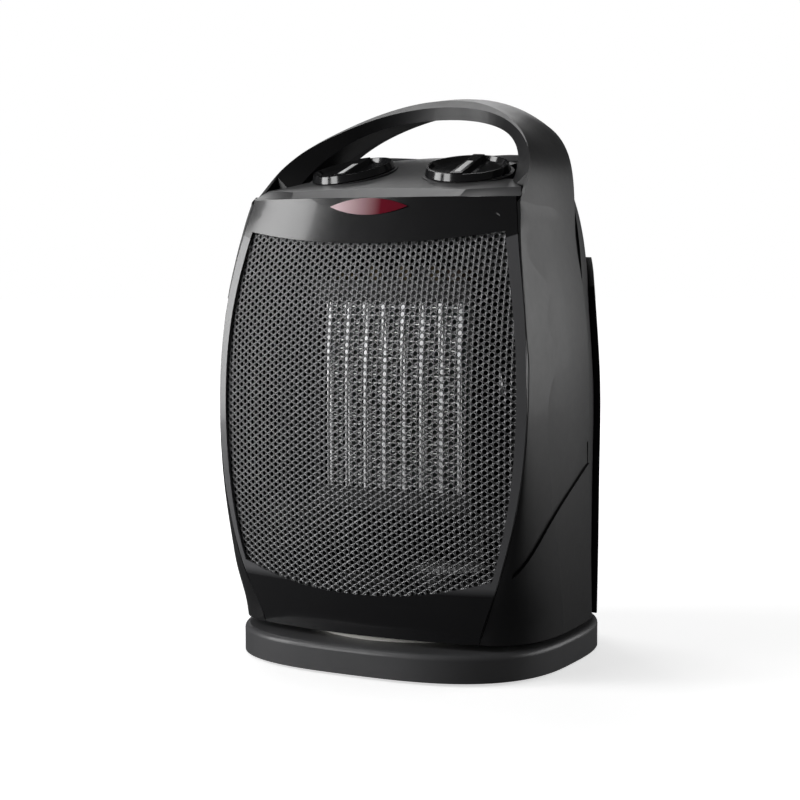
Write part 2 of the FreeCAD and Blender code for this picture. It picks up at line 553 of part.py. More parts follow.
def rear_grille():
    """Intake cover with level slots, proud of the rear housing."""
    reach = COVER_BACK_Y - REAR_STATIONS[-1][0]
    outer = rear_solid(COVER_PROUD, reach, COVER_Z[0])
    inner = rear_solid(COVER_PROUD - COVER_WALL, reach - COVER_WALL, COVER_Z[0])
    shell = outer.cut(inner).common(box(-100, 100, COVER_FRONT_Y, 100, *COVER_Z))
    shell = shell.cut(rear_solid(COVER_PLAY, COVER_PLAY, COVER_Z[0] - 5))
    count = int((INTAKE_WINDOW[2] - INTAKE_WINDOW[1]) / SLOT_PITCH) - 1
    start = (INTAKE_WINDOW[1] + INTAKE_WINDOW[2] - (count - 1) * SLOT_PITCH - SLOT_H) / 2
    cuts = [box(x0, x1, 55, 100, start + i * SLOT_PITCH, start + i * SLOT_PITCH + SLOT_H)
            for i in range(count) for x0, x1 in SLOT_SPANS]
    cuts += [cyl(SCREW_R + 0.2, (x, 40, z), (0, 1, 0), 60) for x, z in COVER_SCREWS]
    dy, dz = COVER_SLANT
    slope = slab(polygon([V(-100, COVER_FRONT_Y - 1, COVER_Z[1] - dz), V(-100, COVER_FRONT_Y + dy, COVER_Z[1] + 1),
                          V(-100, COVER_FRONT_Y - 1, COVER_Z[1] + 1)]), V(200, 0, 0))
    return biggest(shell.cut(cuts + [slope]).cut(switch_hole(0.15)))


def deck_height(x, y):
    middle = between([(s[0], s[1]) for s in DECK_STATIONS], y)
    radius = between([(s[0], s[2]) for s in DECK_STATIONS], y)
    return middle - radius + math.sqrt(radius ** 2 - x ** 2)


def knob_frame(side):
    """Placement whose Z leaves the deck at a knob's middle."""
    x, y, step = side * KNOB_X, KNOB_Y, 12.0
    slope_x = (deck_height(x + step, y) - deck_height(x - step, y)) / (2 * step)
    slope_y = (deck_height(x, y + step) - deck_height(x, y - step)) / (2 * step)
    return FreeCAD.Placement(V(x, y, deck_height(x, y) - 0.1),
                             FreeCAD.Rotation(V(0, 0, 1), V(-slope_x, -slope_y, 1)))


def on_deck(shape, side):
    """Move a shape that was made at the origin to its knob's place."""
    moved = shape.copy()
    moved.Placement = knob_frame(side).multiply(moved.Placement)
    return moved


def control_panel():
    """Sloped deck with a low seat under each knob and a lip over the indicator."""
    plate = deck_solid(0).cut(deck_solid(DECK_T))
    lip = Part.Arc(V(-LIP_HALF, LIP_END_Y, 190), V(0, LIP_FRONT_Y, 190), V(LIP_HALF, LIP_END_Y, 190)).toShape()
    corners = [V(LIP_HALF, LIP_END_Y, 190), V(LIP_HALF, 30, 190), V(-LIP_HALF, 30, 190), V(-LIP_HALF, LIP_END_Y, 190)]
    lip_region = slab(Part.Wire([lip] + [Part.makeLine(a, b) for a, b in zip(corners, corners[1:])]), V(0, 0, 60))
    plate = plate.common(facet_solid().common(front_solid()).fuse(lip_region)).common(opening_solid(OPENING_PLAY))
    plate = plate.common(box(-90, 90, -90, DECK_REAR_Y, 190, 260)).common(arch_solid(OPENING_PLAY))
    lap = front_layer(-6, LAP_DEPTH, box(-90, 90, -100, -30, 190, FRAME_TOP_Z + SEAM))
    plate = biggest(plate.cut(lap))
    for side in (1, -1):
        plate = plate.fuse(on_deck(cyl(SEAT_R, (0, 0, -1.5), (0, 0, 1), SEAT_H + 1.5), side))
        plate = plate.cut(on_deck(cyl(BUSH_R + 0.1, (0, 0, -20), (0, 0, 1), 40), side))
        plate = plate.cut(on_deck(cyl(NUT_WELL_R, (0, 0, NUT_BASE_Z), (0, 0, 1), 20), side))
    return biggest(plate)


def knob():
    """Dished knob with a grip bar across the dish and a blind socket for the shaft."""
    body = Part.makeCone(KNOB_R, KNOB_TOP_R, KNOB_TOP_Z - KNOB_BASE_Z, V(0, 0, KNOB_BASE_Z))
    dish = Part.makeCone(DISH_FLOOR_R, DISH_R, KNOB_TOP_Z - DISH_Z, V(0, 0, DISH_Z))
    under = cyl(DISH_FLOOR_R, (0, 0, 0), (0, 0, 1), DISH_Z - KNOB_FLOOR_T)
    section = polygon([V(-GRIP_W / 2, -20, DISH_Z - 0.5), V(GRIP_W / 2, -20, DISH_Z - 0.5),
                       V(GRIP_TOP_W / 2, -20, GRIP_TOP_Z), V(-GRIP_TOP_W / 2, -20, GRIP_TOP_Z)])
    grip = slab(section, V(0, 40, 0)).common(cyl(DISH_R + 0.3, (0, 0, 0), (0, 0, 1), 20))
    whole = body.cut(dish).fuse(grip).cut(under)
    whole = whole.cut(cyl(SHAFT_R, (0, 0, 0), (0, 0, 1), GRIP_TOP_Z - SHAFT_COVER)).cut(knob_pointer())
    whole.rotate(V(0, 0, 0), V(0, 0, 1), KNOB_TURN)
    return whole


def knob_pointer():
    return box(-POINTER_W / 2, POINTER_W / 2, *POINTER_Y, GRIP_TOP_Z - POINTER_T, GRIP_TOP_Z + 0.1)


def turned_pointer():
    pointer = knob_pointer()
    pointer.rotate(V(0, 0, 0), V(0, 0, 1), KNOB_TURN)
    return pointer


def knob_shaft():
    return cyl(SHAFT_R, (0, 0, SHAFT_FOOT_Z), (0, 0, 1), GRIP_TOP_Z - SHAFT_COVER - SHAFT_FOOT_Z)


def rotary_body(width, length):
    """Thermostat or selector under the deck: case, threaded bush and a running bore for the shaft."""
    case = box(-width / 2, width / 2, -length / 2, length / 2, SHAFT_FOOT_Z - 1.5, CASE_TOP_Z)
    bush = cyl(BUSH_R, (0, 0, CASE_TOP_Z), (0, 0, 1), NUT_TOP_Z - CASE_TOP_Z)
    bore = cyl(SHAFT_R + SHAFT_CLEARANCE, (0, 0, SHAFT_FOOT_Z), (0, 0, 1), 30)
    tabs = [box(-width / 2 + 3 + i * (width - 11) / 2, -width / 2 + 8 + i * (width - 11) / 2, -0.4, 0.4,
                SHAFT_FOOT_Z - 8.5, SHAFT_FOOT_Z - 1.5) for i in range(3)]
    return fuse([case, bush] + tabs).cut(bore)


def bush_nut():
    corners = [math.radians(60 * i) for i in range(6)]
    hexagon = polygon([V(NUT_R * math.cos(a), NUT_R * math.sin(a), NUT_BASE_Z) for a in corners])
    return slab(hexagon, V(0, 0, NUT_TOP_Z - NUT_BASE_Z)).cut(cyl(BUSH_R, (0, 0, NUT_BASE_Z), (0, 0, 1), 5))


# ---------------------------------------------------------------- plinth
def base_shell():
    top = oval_slab(PLINTH_A, PLINTH_B, *PLINTH_Z)
    rim = [e for e in top.Edges if e.BoundBox.ZMin > PLINTH_Z[1] - 0.1 and e.BoundBox.ZMax < PLINTH_Z[1] + 0.1]
    top = top.makeFillet(PLINTH_EDGE_R, rim)
    inner = oval_slab(PLINTH_A - PLINTH_WALL, PLINTH_B - PLINTH_WALL, 0, PLINTH_Z[1] - PLINTH_WALL)
    shell = top.cut(inner)
    under = WELL_FLOOR_Z - WELL_FLOOR_T
    shell = shell.fuse(cyl(WELL_R + WELL_FLOOR_T, (0, 0, under), (0, 0, 1), PLINTH_Z[1] - 1 - under))
    shell = shell.cut(cyl(WELL_R, (0, 0, WELL_FLOOR_Z), (0, 0, 1), 20))
    shell = shell.cut(cyl(SPIGOT_R + PIVOT_CLEARANCE, (0, 0, 0), (0, 0, 1), 20))
    for x, y in BOSSES_AT:
        shell = shell.fuse(cyl(BOSS_R, (x, y, PLINTH_Z[0] + PLATE_T), (0, 0, 1), 9.8))
        shell = shell.cut(cyl(PILOT_R, (x, y, 0), (0, 0, 1), 10))
    pad = box(-9, 9, PLINTH_B - GLAND_INSIDE + 1, PLINTH_B - 1.5, PLINTH_Z[0] + PLATE_T, PLINTH_Z[1] - 1)
    shell = shell.fuse(pad)
    shell = shell.cut(cyl(GLAND_FLANGE_R + 0.1, (0, PLINTH_B - GLAND_FLANGE_T, GLAND_Z), (0, 1, 0), 10))
    shell = shell.cut(cyl(GLAND_R, (0, 40, GLAND_Z), (0, 1, 0), 60))
    for angle in RING_SCREW_ANGLES:
        x, y = RING_SCREW_R * math.cos(angle), RING_SCREW_R * math.sin(angle)
        shell = shell.cut(cyl(1.0, (x, y, 0), (0, 0, 1), 20))
    return biggest(shell)


def base_plate():
    plate = oval_slab(PLINTH_A - PLINTH_WALL - 0.6, PLINTH_B - PLINTH_WALL - 0.6, PLINTH_Z[0], PLINTH_Z[0] + PLATE_T)
    for x, y in BOSSES_AT:
        plate = plate.cut(cyl(SCREW_R + 0.15, (x, y, 0), (0, 0, 1), 10))
    for x, y in FEET_AT:
        plate = plate.cut(cyl(FOOT_PEG_R, (x, y, 0), (0, 0, 1), 10))
    return plate.cut(cyl(PLUNGER_R + PLUNGER_CLEARANCE, (*PLUNGER_AT, 0), (0, 0, 1), 10))


def rubber_feet():
    feet = []
    for x, y in FEET_AT:
        pad = Part.makeCone(FOOT_R - 0.6, FOOT_R, PLINTH_Z[0], V(x, y, 0))
        feet.append(pad.fuse(cyl(FOOT_PEG_R, (x, y, PLINTH_Z[0]), (0, 0, 1), PLATE_T)))
    return group(feet)


def cord_gland():
    flange = cyl(GLAND_FLANGE_R, (0, PLINTH_B - GLAND_FLANGE_T, GLAND_Z), (0, 1, 0), GLAND_FLANGE_T - 0.1)
    neck = cyl(GLAND_R, (0, PLINTH_B - GLAND_INSIDE, GLAND_Z), (0, 1, 0), GLAND_INSIDE - GLAND_FLANGE_T)
    return flange.fuse(neck).cut(cyl(GLAND_BORE_R, (0, 40, GLAND_Z), (0, 1, 0), 60))


def glide_ring():
    return tube(GLIDE_R + GLIDE_W / 2, GLIDE_R - GLIDE_W / 2, (0, 0, PLINTH_Z[1]), (0, 0, 1),
                FLOOR_EDGE_Z - PLINTH_Z[1] - GLIDE_PLAY)


def involute_gear(teeth, z0, height, phase=0.0):
    """Spur gear with involute flanks, its first tooth centred on the angle phase."""
    pitch_r = GEAR_MODULE * teeth / 2
    base_r = pitch_r * math.cos(PRESSURE)
    tip_r, root_r = pitch_r + ADDENDUM * GEAR_MODULE, pitch_r - DEDENDUM * GEAR_MODULE
    half_tooth = (math.pi / 2 - BACKLASH) / teeth + math.tan(PRESSURE) - PRESSURE
    start_r = max(base_r, root_r + 0.05)
    flank = []
    for i in range(5):
        r = start_r + (tip_r - start_r) * i / 4
        alpha = math.acos(min(base_r / r, 1.0))
        flank.append((r, half_tooth - (math.tan(alpha) - alpha)))

    def at(r, angle):
        return V(r * math.cos(angle), r * math.sin(angle), z0)
    edges, root_half = [], flank[0][1]
    for n in range(teeth):
        mid = phase + 2 * math.pi * n / teeth
        after = mid + 2 * math.pi / teeth
        low = at(root_r, mid - root_half)
        up = [at(r, mid - a) for r, a in flank]
        down = [at(r, mid + a) for r, a in reversed(flank)]
        edges += [Part.makeLine(low, up[0]), spline_edge(up),
                  Part.Arc(up[-1], at(tip_r, mid), down[0]).toShape(), spline_edge(down),
                  Part.makeLine(down[-1], at(root_r, mid + root_half)),
                  Part.Arc(at(root_r, mid + root_half), at(root_r, mid + math.pi / teeth),
                           at(root_r, after - root_half)).toShape()]
    return slab(Part.Wire(edges), V(0, 0, height))


def ring_gear():
    gear = involute_gear(RING_TEETH, WELL_FLOOR_Z, GEAR_FACE, math.pi / 2)
    gear = gear.cut(cyl(RING_BORE_R, (0, 0, 0), (0, 0, 1), 30))
    for angle in RING_SCREW_ANGLES:
        x, y = RING_SCREW_R * math.cos(angle), RING_SCREW_R * math.sin(angle)
        gear = gear.cut(cyl(1.35, (x, y, 0), (0, 0, 1), 30))
    return gear


def swing_pinion():
    """Pinion with its shaft; a gap between teeth faces the ring gear's tooth."""
    z0 = WELL_FLOOR_Z + 0.3
    phase = -math.pi / 2 + math.pi / PINION_TEETH
    gear = involute_gear(PINION_TEETH, 0, GEAR_FACE, phase)
    gear.translate(V(0, DRIVE_Y, z0))
    return gear.fuse(cyl(DRIVE_SHAFT_R, (0, DRIVE_Y, z0 + GEAR_FACE), (0, 0, 1), DRIVE_SHAFT_TOP_Z - z0 - GEAR_FACE))


def tip_plunger():
    x, y = PLUNGER_AT
    stem = cyl(PLUNGER_R, (x, y, PLUNGER_FOOT_Z), (0, 0, 1), PLUNGER_FLANGE_Z - PLUNGER_FOOT_Z)
    flange = cyl(PLUNGER_FLANGE_R, (x, y, PLUNGER_FLANGE_Z), (0, 0, 1), PLUNGER_FLANGE_T)
    tail = cyl(PLUNGER_TAIL_R, (x, y, PLUNGER_FLANGE_Z + PLUNGER_FLANGE_T), (0, 0, 1), 2.4)
    return fuse([stem, flange, tail])


def tip_spring():
    """Compression spring between the plunger's flange and the shell."""
    x, y = PLUNGER_AT
    z0 = PLUNGER_FLANGE_Z + PLUNGER_FLANGE_T + 0.05
    length = PLINTH_Z[1] - PLINTH_WALL - 0.05 - z0
    wire_r = 0.25
    helix = Part.makeHelix((length - 2 * wire_r) / 3, length - 2 * wire_r, 2.5)
    helix.translate(V(x, y, z0 + wire_r))
    start = V(x + 2.5, y, z0 + wire_r)
    profile = Part.Wire([Part.makeCircle(wire_r, start, V(0, 1, 0.1))])
    return Part.Wire(helix.Edges).makePipeShell([profile], True, True)


def tip_microswitch():
    """Small switch beside the plunger with a fixed lever over its flange."""
    x, y = PLUNGER_AT
    x0 = x + PLUNGER_FLANGE_R + 0.6
    case = box(x0, x0 + 9, y - 4, y + 4, PLINTH_Z[0] + PLATE_T, PLINTH_Z[0] + PLATE_T + 6.5)
    top = PLINTH_Z[0] + PLATE_T + 6.5
    pins = [box(x0 + 1 + 3 * i, x0 + 1.6 + 3 * i, y + 4, y + 7, top - 4, top - 2) for i in range(3)]
    return fuse([case] + pins)


# ---------------------------------------------------------------- floor of the housing and swing drive
def floor_plate():
    slab_z = (FLOOR_EDGE_Z + 0.02, PLATE_TOP_Z)
    inset = SKIN_WALL + FLOOR_PLAY
    fore = box(-90, 90, -90, 22, *slab_z).common(arch_solid(inset)).common(front_solid(inset))
    aft = box(-90, 90, 18, 90, *slab_z).common(rear_solid(-inset, -inset, 10.0))
    plate = fore.fuse(aft).removeSplitter()
    spigot = cyl(SPIGOT_R, (0, 0, SPIGOT_END_Z), (0, 0, 1), PLATE_TOP_Z - SPIGOT_END_Z)
    plate = plate.fuse(spigot).cut(cyl(SPIGOT_BORE_R, (0, 0, 0), (0, 0, 1), 40))
    plate = plate.cut(cyl(DRIVE_SHAFT_R + 0.6, (0, DRIVE_Y, 0), (0, 0, 1), 40))
    for side in (1, -1):
        for y in HOUSING_BOSS_Y:
            plate = plate.cut(cyl(SCREW_R + 0.15, (side * HOUSING_BOSS_X, y, 0), (0, 0, 1), 40))
        plate = plate.cut(cyl(PILOT_R, (side * MOTOR_LUG_X, DRIVE_Y, 0), (0, 0, 1), 40))
    for angle in RETAINER_ANGLES:
        x, y = RETAINER_SCREW_R * math.cos(angle), RETAINER_SCREW_R * math.sin(angle)
        plate = plate.cut(cyl(0.9, (x, y, 0), (0, 0, 1), SPIGOT_END_Z + 6))
    return biggest(plate)


def pivot_retainer():
    ring = tube(RETAINER_R, SPIGOT_BORE_R, (0, 0, SPIGOT_END_Z - RETAINER_H), (0, 0, 1), RETAINER_H)
    for angle in RETAINER_ANGLES:
        x, y = RETAINER_SCREW_R * math.cos(angle), RETAINER_SCREW_R * math.sin(angle)
        ring = ring.cut(cyl(1.0, (x, y, 0), (0, 0, 1), 10))
    return ring


def swing_motor():
    """Flat synchronous gear motor that stands on the floor plate, with two lugs."""
    can = cyl(SWING_MOTOR_R, (0, DRIVE_Y, PLATE_TOP_Z), (0, 0, 1), SWING_MOTOR_H)
    lugs = box(-MOTOR_LUG_X - 4, MOTOR_LUG_X + 4, DRIVE_Y - 4, DRIVE_Y + 4, PLATE_TOP_Z, PLATE_TOP_Z + LUG_T)
    motor = can.fuse(lugs).cut(cyl(DRIVE_SHAFT_R + 0.05, (0, DRIVE_Y, 0), (0, 0, 1), DRIVE_SHAFT_TOP_Z + 0.5))
    for side in (1, -1):
        motor = motor.cut(cyl(SCREW_R + 0.1, (side * MOTOR_LUG_X, DRIVE_Y, 0), (0, 0, 1), 30))
    return motor


def terminal_block():
    x, y = TERMINAL_AT
    block = box(x - 14, x + 14, y - 5, y + 5, PLATE_TOP_Z, PLATE_TOP_Z + 10)
    for i in range(3):
        block = block.cut(cyl(1.6, (x - 9 + 9 * i, y, PLATE_TOP_Z + 4), (0, 0, 1), 10))
        block = block.cut(cyl(1.4, (x - 9 + 9 * i, y - 10, PLATE_TOP_Z + 4), (0, 1, 0), 20))
    return block


# ---------------------------------------------------------------- heating element, duct and fan
def plate_x(i):
    return (i - (PLATE_COUNT - 1) / 2) * PLATE_PITCH


def ptc_bars():
    z0 = CORE_Z - CORE_HALF_H
    return group([box(plate_x(i) - PLATE_W / 2, plate_x(i) + PLATE_W / 2, CORE_FRONT_Y, CORE_FRONT_Y + CORE_DEPTH,
                      z0, z0 + 2 * CORE_HALF_H) for i in range(PLATE_COUNT)])


def ptc_fins():
    """Comb of level fins on a thin spine between each pair of bars."""
    combs = []
    z0, z1 = CORE_Z - CORE_HALF_H, CORE_Z + CORE_HALF_H
    count = int(2 * CORE_HALF_H / FIN_PITCH)
    for i in range(PLATE_COUNT - 1):
        x0, x1 = plate_x(i) + PLATE_W / 2, plate_x(i + 1) - PLATE_W / 2
        spine = x0 + FIN_T
        points = [V(x0, 0, z0), V(spine, 0, z0)]
        for n in range(count):
            z = z0 + (n + 0.5) * FIN_PITCH - FIN_T / 2
            points += [V(spine, 0, z), V(x1, 0, z), V(x1, 0, z + FIN_T), V(spine, 0, z + FIN_T)]
        points += [V(spine, 0, z1), V(x0, 0, z1)]
        comb = slab(polygon(points), V(0, CORE_DEPTH - 2, 0))
        comb.translate(V(0, CORE_FRONT_Y + 1, 0))
        combs.append(comb)
    return group(combs)


def ptc_holders():
    half = plate_x(PLATE_COUNT - 1) + PLATE_W / 2 + END_CAP_SIDE
    y0, y1 = CORE_FRONT_Y - 1.5, CORE_FRONT_Y + CORE_DEPTH + 1.5
    caps = []
    for z0, z1 in ((CORE_Z - CORE_HALF_H - END_CAP_H, CORE_Z - CORE_HALF_H),
                   (CORE_Z + CORE_HALF_H, CORE_Z + CORE_HALF_H + END_CAP_H)):
        cap = box(-half, half, y0, y1, z0, z1)
        for i in range(3):
            x = (i - 1) * TERMINAL_PITCH
            cap = cap.cut(box(x - 3.15, x + 3.15, CORE_MID_Y - 0.4, CORE_MID_Y + 0.4, z0, z1))
        caps.append(cap)
    return group(caps)


def ptc_terminals():
    z0 = CORE_Z + CORE_HALF_H
    return group([box((i - 1) * TERMINAL_PITCH - 3.15, (i - 1) * TERMINAL_PITCH + 3.15, CORE_MID_Y - 0.4,
                      CORE_MID_Y + 0.4, z0, z0 + END_CAP_H + 9) for i in range(3)])


def duct_plate():
    """Wall across the housing with a box duct round the heating element."""
    half = plate_x(PLATE_COUNT - 1) + PLATE_W / 2 + END_CAP_SIDE
    low, high = CORE_Z - CORE_HALF_H - END_CAP_H, CORE_Z + CORE_HALF_H + END_CAP_H
    wall = box(-DUCT_HALF_W, DUCT_HALF_W, DUCT_Y - DUCT_T, DUCT_Y, *DUCT_Z)
    duct = box(-half - DUCT_T, half + DUCT_T, CORE_FRONT_Y - 1.5, DUCT_Y - DUCT_T, low - DUCT_T, high + DUCT_T)
    duct = duct.cut(box(-half, half, -90, 90, low, high))
    wall = wall.cut(cyl(TUBE_R - TUBE_WALL, (0, -50, CORE_Z), (0, 1, 0), 100))
    whole = wall.fuse(duct)
    slot = box(-TERMINAL_PITCH - 5, TERMINAL_PITCH + 5, CORE_MID_Y - 3, CORE_MID_Y + 3, high - 1, high + 10)
    return biggest(whole.cut(slot))


def fan_shroud():
    """Tube round the fan with three arms that carry the motor ring."""
    y0 = DUCT_Y
    shroud = tube(TUBE_R, TUBE_R - TUBE_WALL, (0, y0, CORE_Z), (0, 1, 0), TUBE_LENGTH)
    shroud = shroud.fuse(tube(TUBE_R + 4, TUBE_R - TUBE_WALL, (0, y0, CORE_Z), (0, 1, 0), 2.0))
    ring_y = FAN_MOTOR_Y - 2
    ring = tube(FAN_MOTOR_R + 2.5, FAN_MOTOR_R, (0, ring_y, CORE_Z), (0, 1, 0), 8)
    arms = []
    for i in range(3):
        arm = box(FAN_MOTOR_R + 1, TUBE_R, y0 + TUBE_LENGTH - 4, ring_y + 4, -3, 3)
        arm = arm.cut(box(0, TUBE_R - TUBE_WALL, 0, ring_y - 0.8, -4, 4))
        arm.rotate(V(0, 0, 0), V(0, 1, 0), 90 + 120 * i)
        arm.translate(V(0, 0, CORE_Z))
        arms.append(arm)
    return biggest(fuse([shroud, ring] + arms))


def fan_motor():
    motor = cyl(FAN_MOTOR_R, (0, FAN_MOTOR_Y, CORE_Z), (0, 1, 0), FAN_MOTOR_L)
    rim = [e for e in motor.Edges if e.Curve.TypeId == "Part::GeomCircle"]
    motor = motor.makeChamfer(1.5, rim)
    motor = motor.fuse(cyl(5, (0, FAN_MOTOR_Y - 4, CORE_Z), (0, 1, 0), 4))
    return motor.cut(cyl(FAN_SHAFT_R + SHAFT_CLEARANCE, (0, 0, CORE_Z), (0, 1, 0), FAN_MOTOR_Y + FAN_MOTOR_L - 4))


def motor_shaft():
    start = FAN_Y - 5
    return cyl(FAN_SHAFT_R, (0, start, CORE_Z), (0, 1, 0), FAN_MOTOR_Y + FAN_MOTOR_L - 5 - start)


def impeller():
    """Axial fan: hub and twisted blades."""
    hub = cyl(FAN_HUB_R, (0, FAN_Y, CORE_Z), (0, 1, 0), FAN_DEPTH)
    hub = hub.cut(cyl(FAN_HUB_R - 2, (0, FAN_Y + 3, CORE_Z), (0, 1, 0), FAN_DEPTH))
    hub = hub.fuse(cyl(4, (0, FAN_Y, CORE_Z), (0, 1, 0), FAN_DEPTH))
    blades = []
    for i in range(FAN_BLADES):
        sections = []
        for radius, pitch in ((FAN_HUB_R - 0.6, 52), (28, 38), (FAN_R, 30)):
            chord = 13 + radius * 0.16
            dx, dy = chord / 2 * math.cos(math.radians(pitch)), chord / 2 * math.sin(math.radians(pitch))
            nx, ny = 0.8 * math.sin(math.radians(pitch)), -0.8 * math.cos(math.radians(pitch))
            mid = FAN_Y + FAN_DEPTH / 2
            sections.append(polygon([V(-dx - nx, mid - dy - ny, radius), V(dx - nx, mid + dy - ny, radius),
                                     V(dx + nx, mid + dy + ny, radius), V(-dx + nx, mid - dy + ny, radius)]))
        blade = Part.makeLoft(sections, True, False)
        blade.rotate(V(0, 0, 0), V(0, 1, 0), 360.0 * i / FAN_BLADES)
        blade.translate(V(0, 0, CORE_Z))
        blades.append(blade)
    wheel = fuse([hub] + blades).common(cyl(FAN_R, (0, FAN_Y, CORE_Z), (0, 1, 0), FAN_DEPTH))
    return biggest(wheel.cut(cyl(FAN_SHAFT_R, (0, -10, CORE_Z), (0, 1, 0), 80)))


def impeller_nut():
    hexagon = polygon([V(3.4 * math.cos(math.radians(60 * i)), FAN_Y - 3, CORE_Z + 3.4 * math.sin(math.radians(60 * i)))
                       for i in range(6)])
    return slab(hexagon, V(0, 3, 0)).cut(cyl(FAN_SHAFT_R, (0, -20, CORE_Z), (0, 1, 0), 60))


def thermal_cutout():
    top = CORE_Z + CORE_HALF_H + END_CAP_H + DUCT_T
    disc = cyl(7, (CUTOUT_X, CORE_MID_Y, top), (0, 0, 1), 5)
    tabs = box(CUTOUT_X - 9.5, CUTOUT_X + 9.5, CORE_MID_Y - 2.4, CORE_MID_Y + 2.4, top + 5, top + 5.8)
    return disc.fuse(tabs)


def thermal_fuse():
    top = CORE_Z + CORE_HALF_H + END_CAP_H + DUCT_T
    return cyl(2, (-CUTOUT_X - 6, CORE_MID_Y, top + 2), (1, 0, 0), 12)


def pilot_lamp():
    return cyl(LAMP_R, (-7, LAMP_Y, INDICATOR_Z), (1, 0, 0), 14)


def lamp_holder():
    """Clip on the fascia's inner face that carries the lamp."""
    back, step = LAMP_Y + LAMP_R + 1.2, INDICATOR_Z - INDICATOR_H / 2 - 0.6
    foot = box(-6, 6, LAMP_FOOT_Y, back, step - 2.6, step)
    cradle = box(-6, 6, LAMP_Y - LAMP_R - 0.4, back, step, INDICATOR_Z + 0.4)
    return foot.fuse(cradle).cut(cyl(LAMP_R, (-20, LAMP_Y, INDICATOR_Z), (1, 0, 0), 40))


def swing_switch_body():
    """Rocker switch case with a thin bezel on the intake cover."""
    case = box(SWITCH_X - SWITCH_W / 2, SWITCH_X + SWITCH_W / 2, COVER_BACK_Y - 14, COVER_BACK_Y + 0.02,
               SWITCH_Z - SWITCH_H / 2, SWITCH_Z + SWITCH_H / 2)
    bezel = box(SWITCH_X - SWITCH_W / 2 - 1.2, SWITCH_X + SWITCH_W / 2 + 1.2, COVER_BACK_Y + 0.02, COVER_BACK_Y + 1.2,
                SWITCH_Z - SWITCH_H / 2 - 1.2, SWITCH_Z + SWITCH_H / 2 + 1.2)
    hollow = box(SWITCH_X - SWITCH_W / 2 + 1.2, SWITCH_X + SWITCH_W / 2 - 1.2, COVER_BACK_Y - 6, COVER_BACK_Y + 5,
                 SWITCH_Z - SWITCH_H / 2 + 1.2, SWITCH_Z + SWITCH_H / 2 - 1.2)
    blades = [box(SWITCH_X - 3, SWITCH_X + 3, COVER_BACK_Y - 18.5, COVER_BACK_Y - 14, z - 0.4, z + 0.4)
              for z in (SWITCH_Z - 5, SWITCH_Z + 5)]
    return fuse([case, bezel] + blades).cut(hollow)


def swing_rocker():
    """Rocker with a dished face, held down at its lower end."""
    w = SWITCH_W / 2 - 1.2 - 0.3
    h = SWITCH_H / 2 - 1.2 - 0.9
    y = COVER_BACK_Y
    outline = polygon([V(SWITCH_X - w, y - 2.6, SWITCH_Z - h), V(SWITCH_X - w, y + 1.1, SWITCH_Z - h),
                       V(SWITCH_X - w, y + 0.1, SWITCH_Z), V(SWITCH_X - w, y + 1.1, SWITCH_Z + h),
                       V(SWITCH_X - w, y - 2.6, SWITCH_Z + h)])
    rocker = slab(outline, V(2 * w, 0, 0))
    rocker.rotate(V(SWITCH_X, y - ROCKER_PIVOT, SWITCH_Z), V(1, 0, 0), -ROCKER_TILT)
    return rocker


# ---------------------------------------------------------------- fasteners
def base_screws():
    return group([screw((x, y, PLINTH_Z[0]), (0, 0, 1), SCREW_R, 8.5, 2.6, 0.9) for x, y in BOSSES_AT])


def housing_screws():
    return group([screw((side * HOUSING_BOSS_X, y, FLOOR_EDGE_Z + 0.02), (0, 0, 1), SCREW_R, 10, 2.8, 1.4)
                  for side in (1, -1) for y in HOUSING_BOSS_Y])


def cover_screws():
    return group([screw((x, COVER_BACK_Y, z), (0, -1, 0), SCREW_R, 13, 2.8, 1.5) for x, z in COVER_SCREWS])


def retainer_screws():
    return group([screw((RETAINER_SCREW_R * math.cos(a), RETAINER_SCREW_R * math.sin(a), SPIGOT_END_Z - RETAINER_H),
                        (0, 0, 1), 0.9, RETAINER_H + 5, 1.7, 1.0) for a in RETAINER_ANGLES])


def ring_gear_screws():
    return group([screw((RING_SCREW_R * math.cos(a), RING_SCREW_R * math.sin(a), WELL_FLOOR_Z + GEAR_FACE),
                        (0, 0, -1), 1.0, GEAR_FACE + 1.6, 2.0, 1.2) for a in RING_SCREW_ANGLES])


def swing_motor_screws():
    return group([screw((side * MOTOR_LUG_X, DRIVE_Y, PLATE_TOP_Z + LUG_T), (0, 0, -1), PILOT_R, LUG_T + 2.2, 2.6, 1.4)
                  for side in (1, -1)])


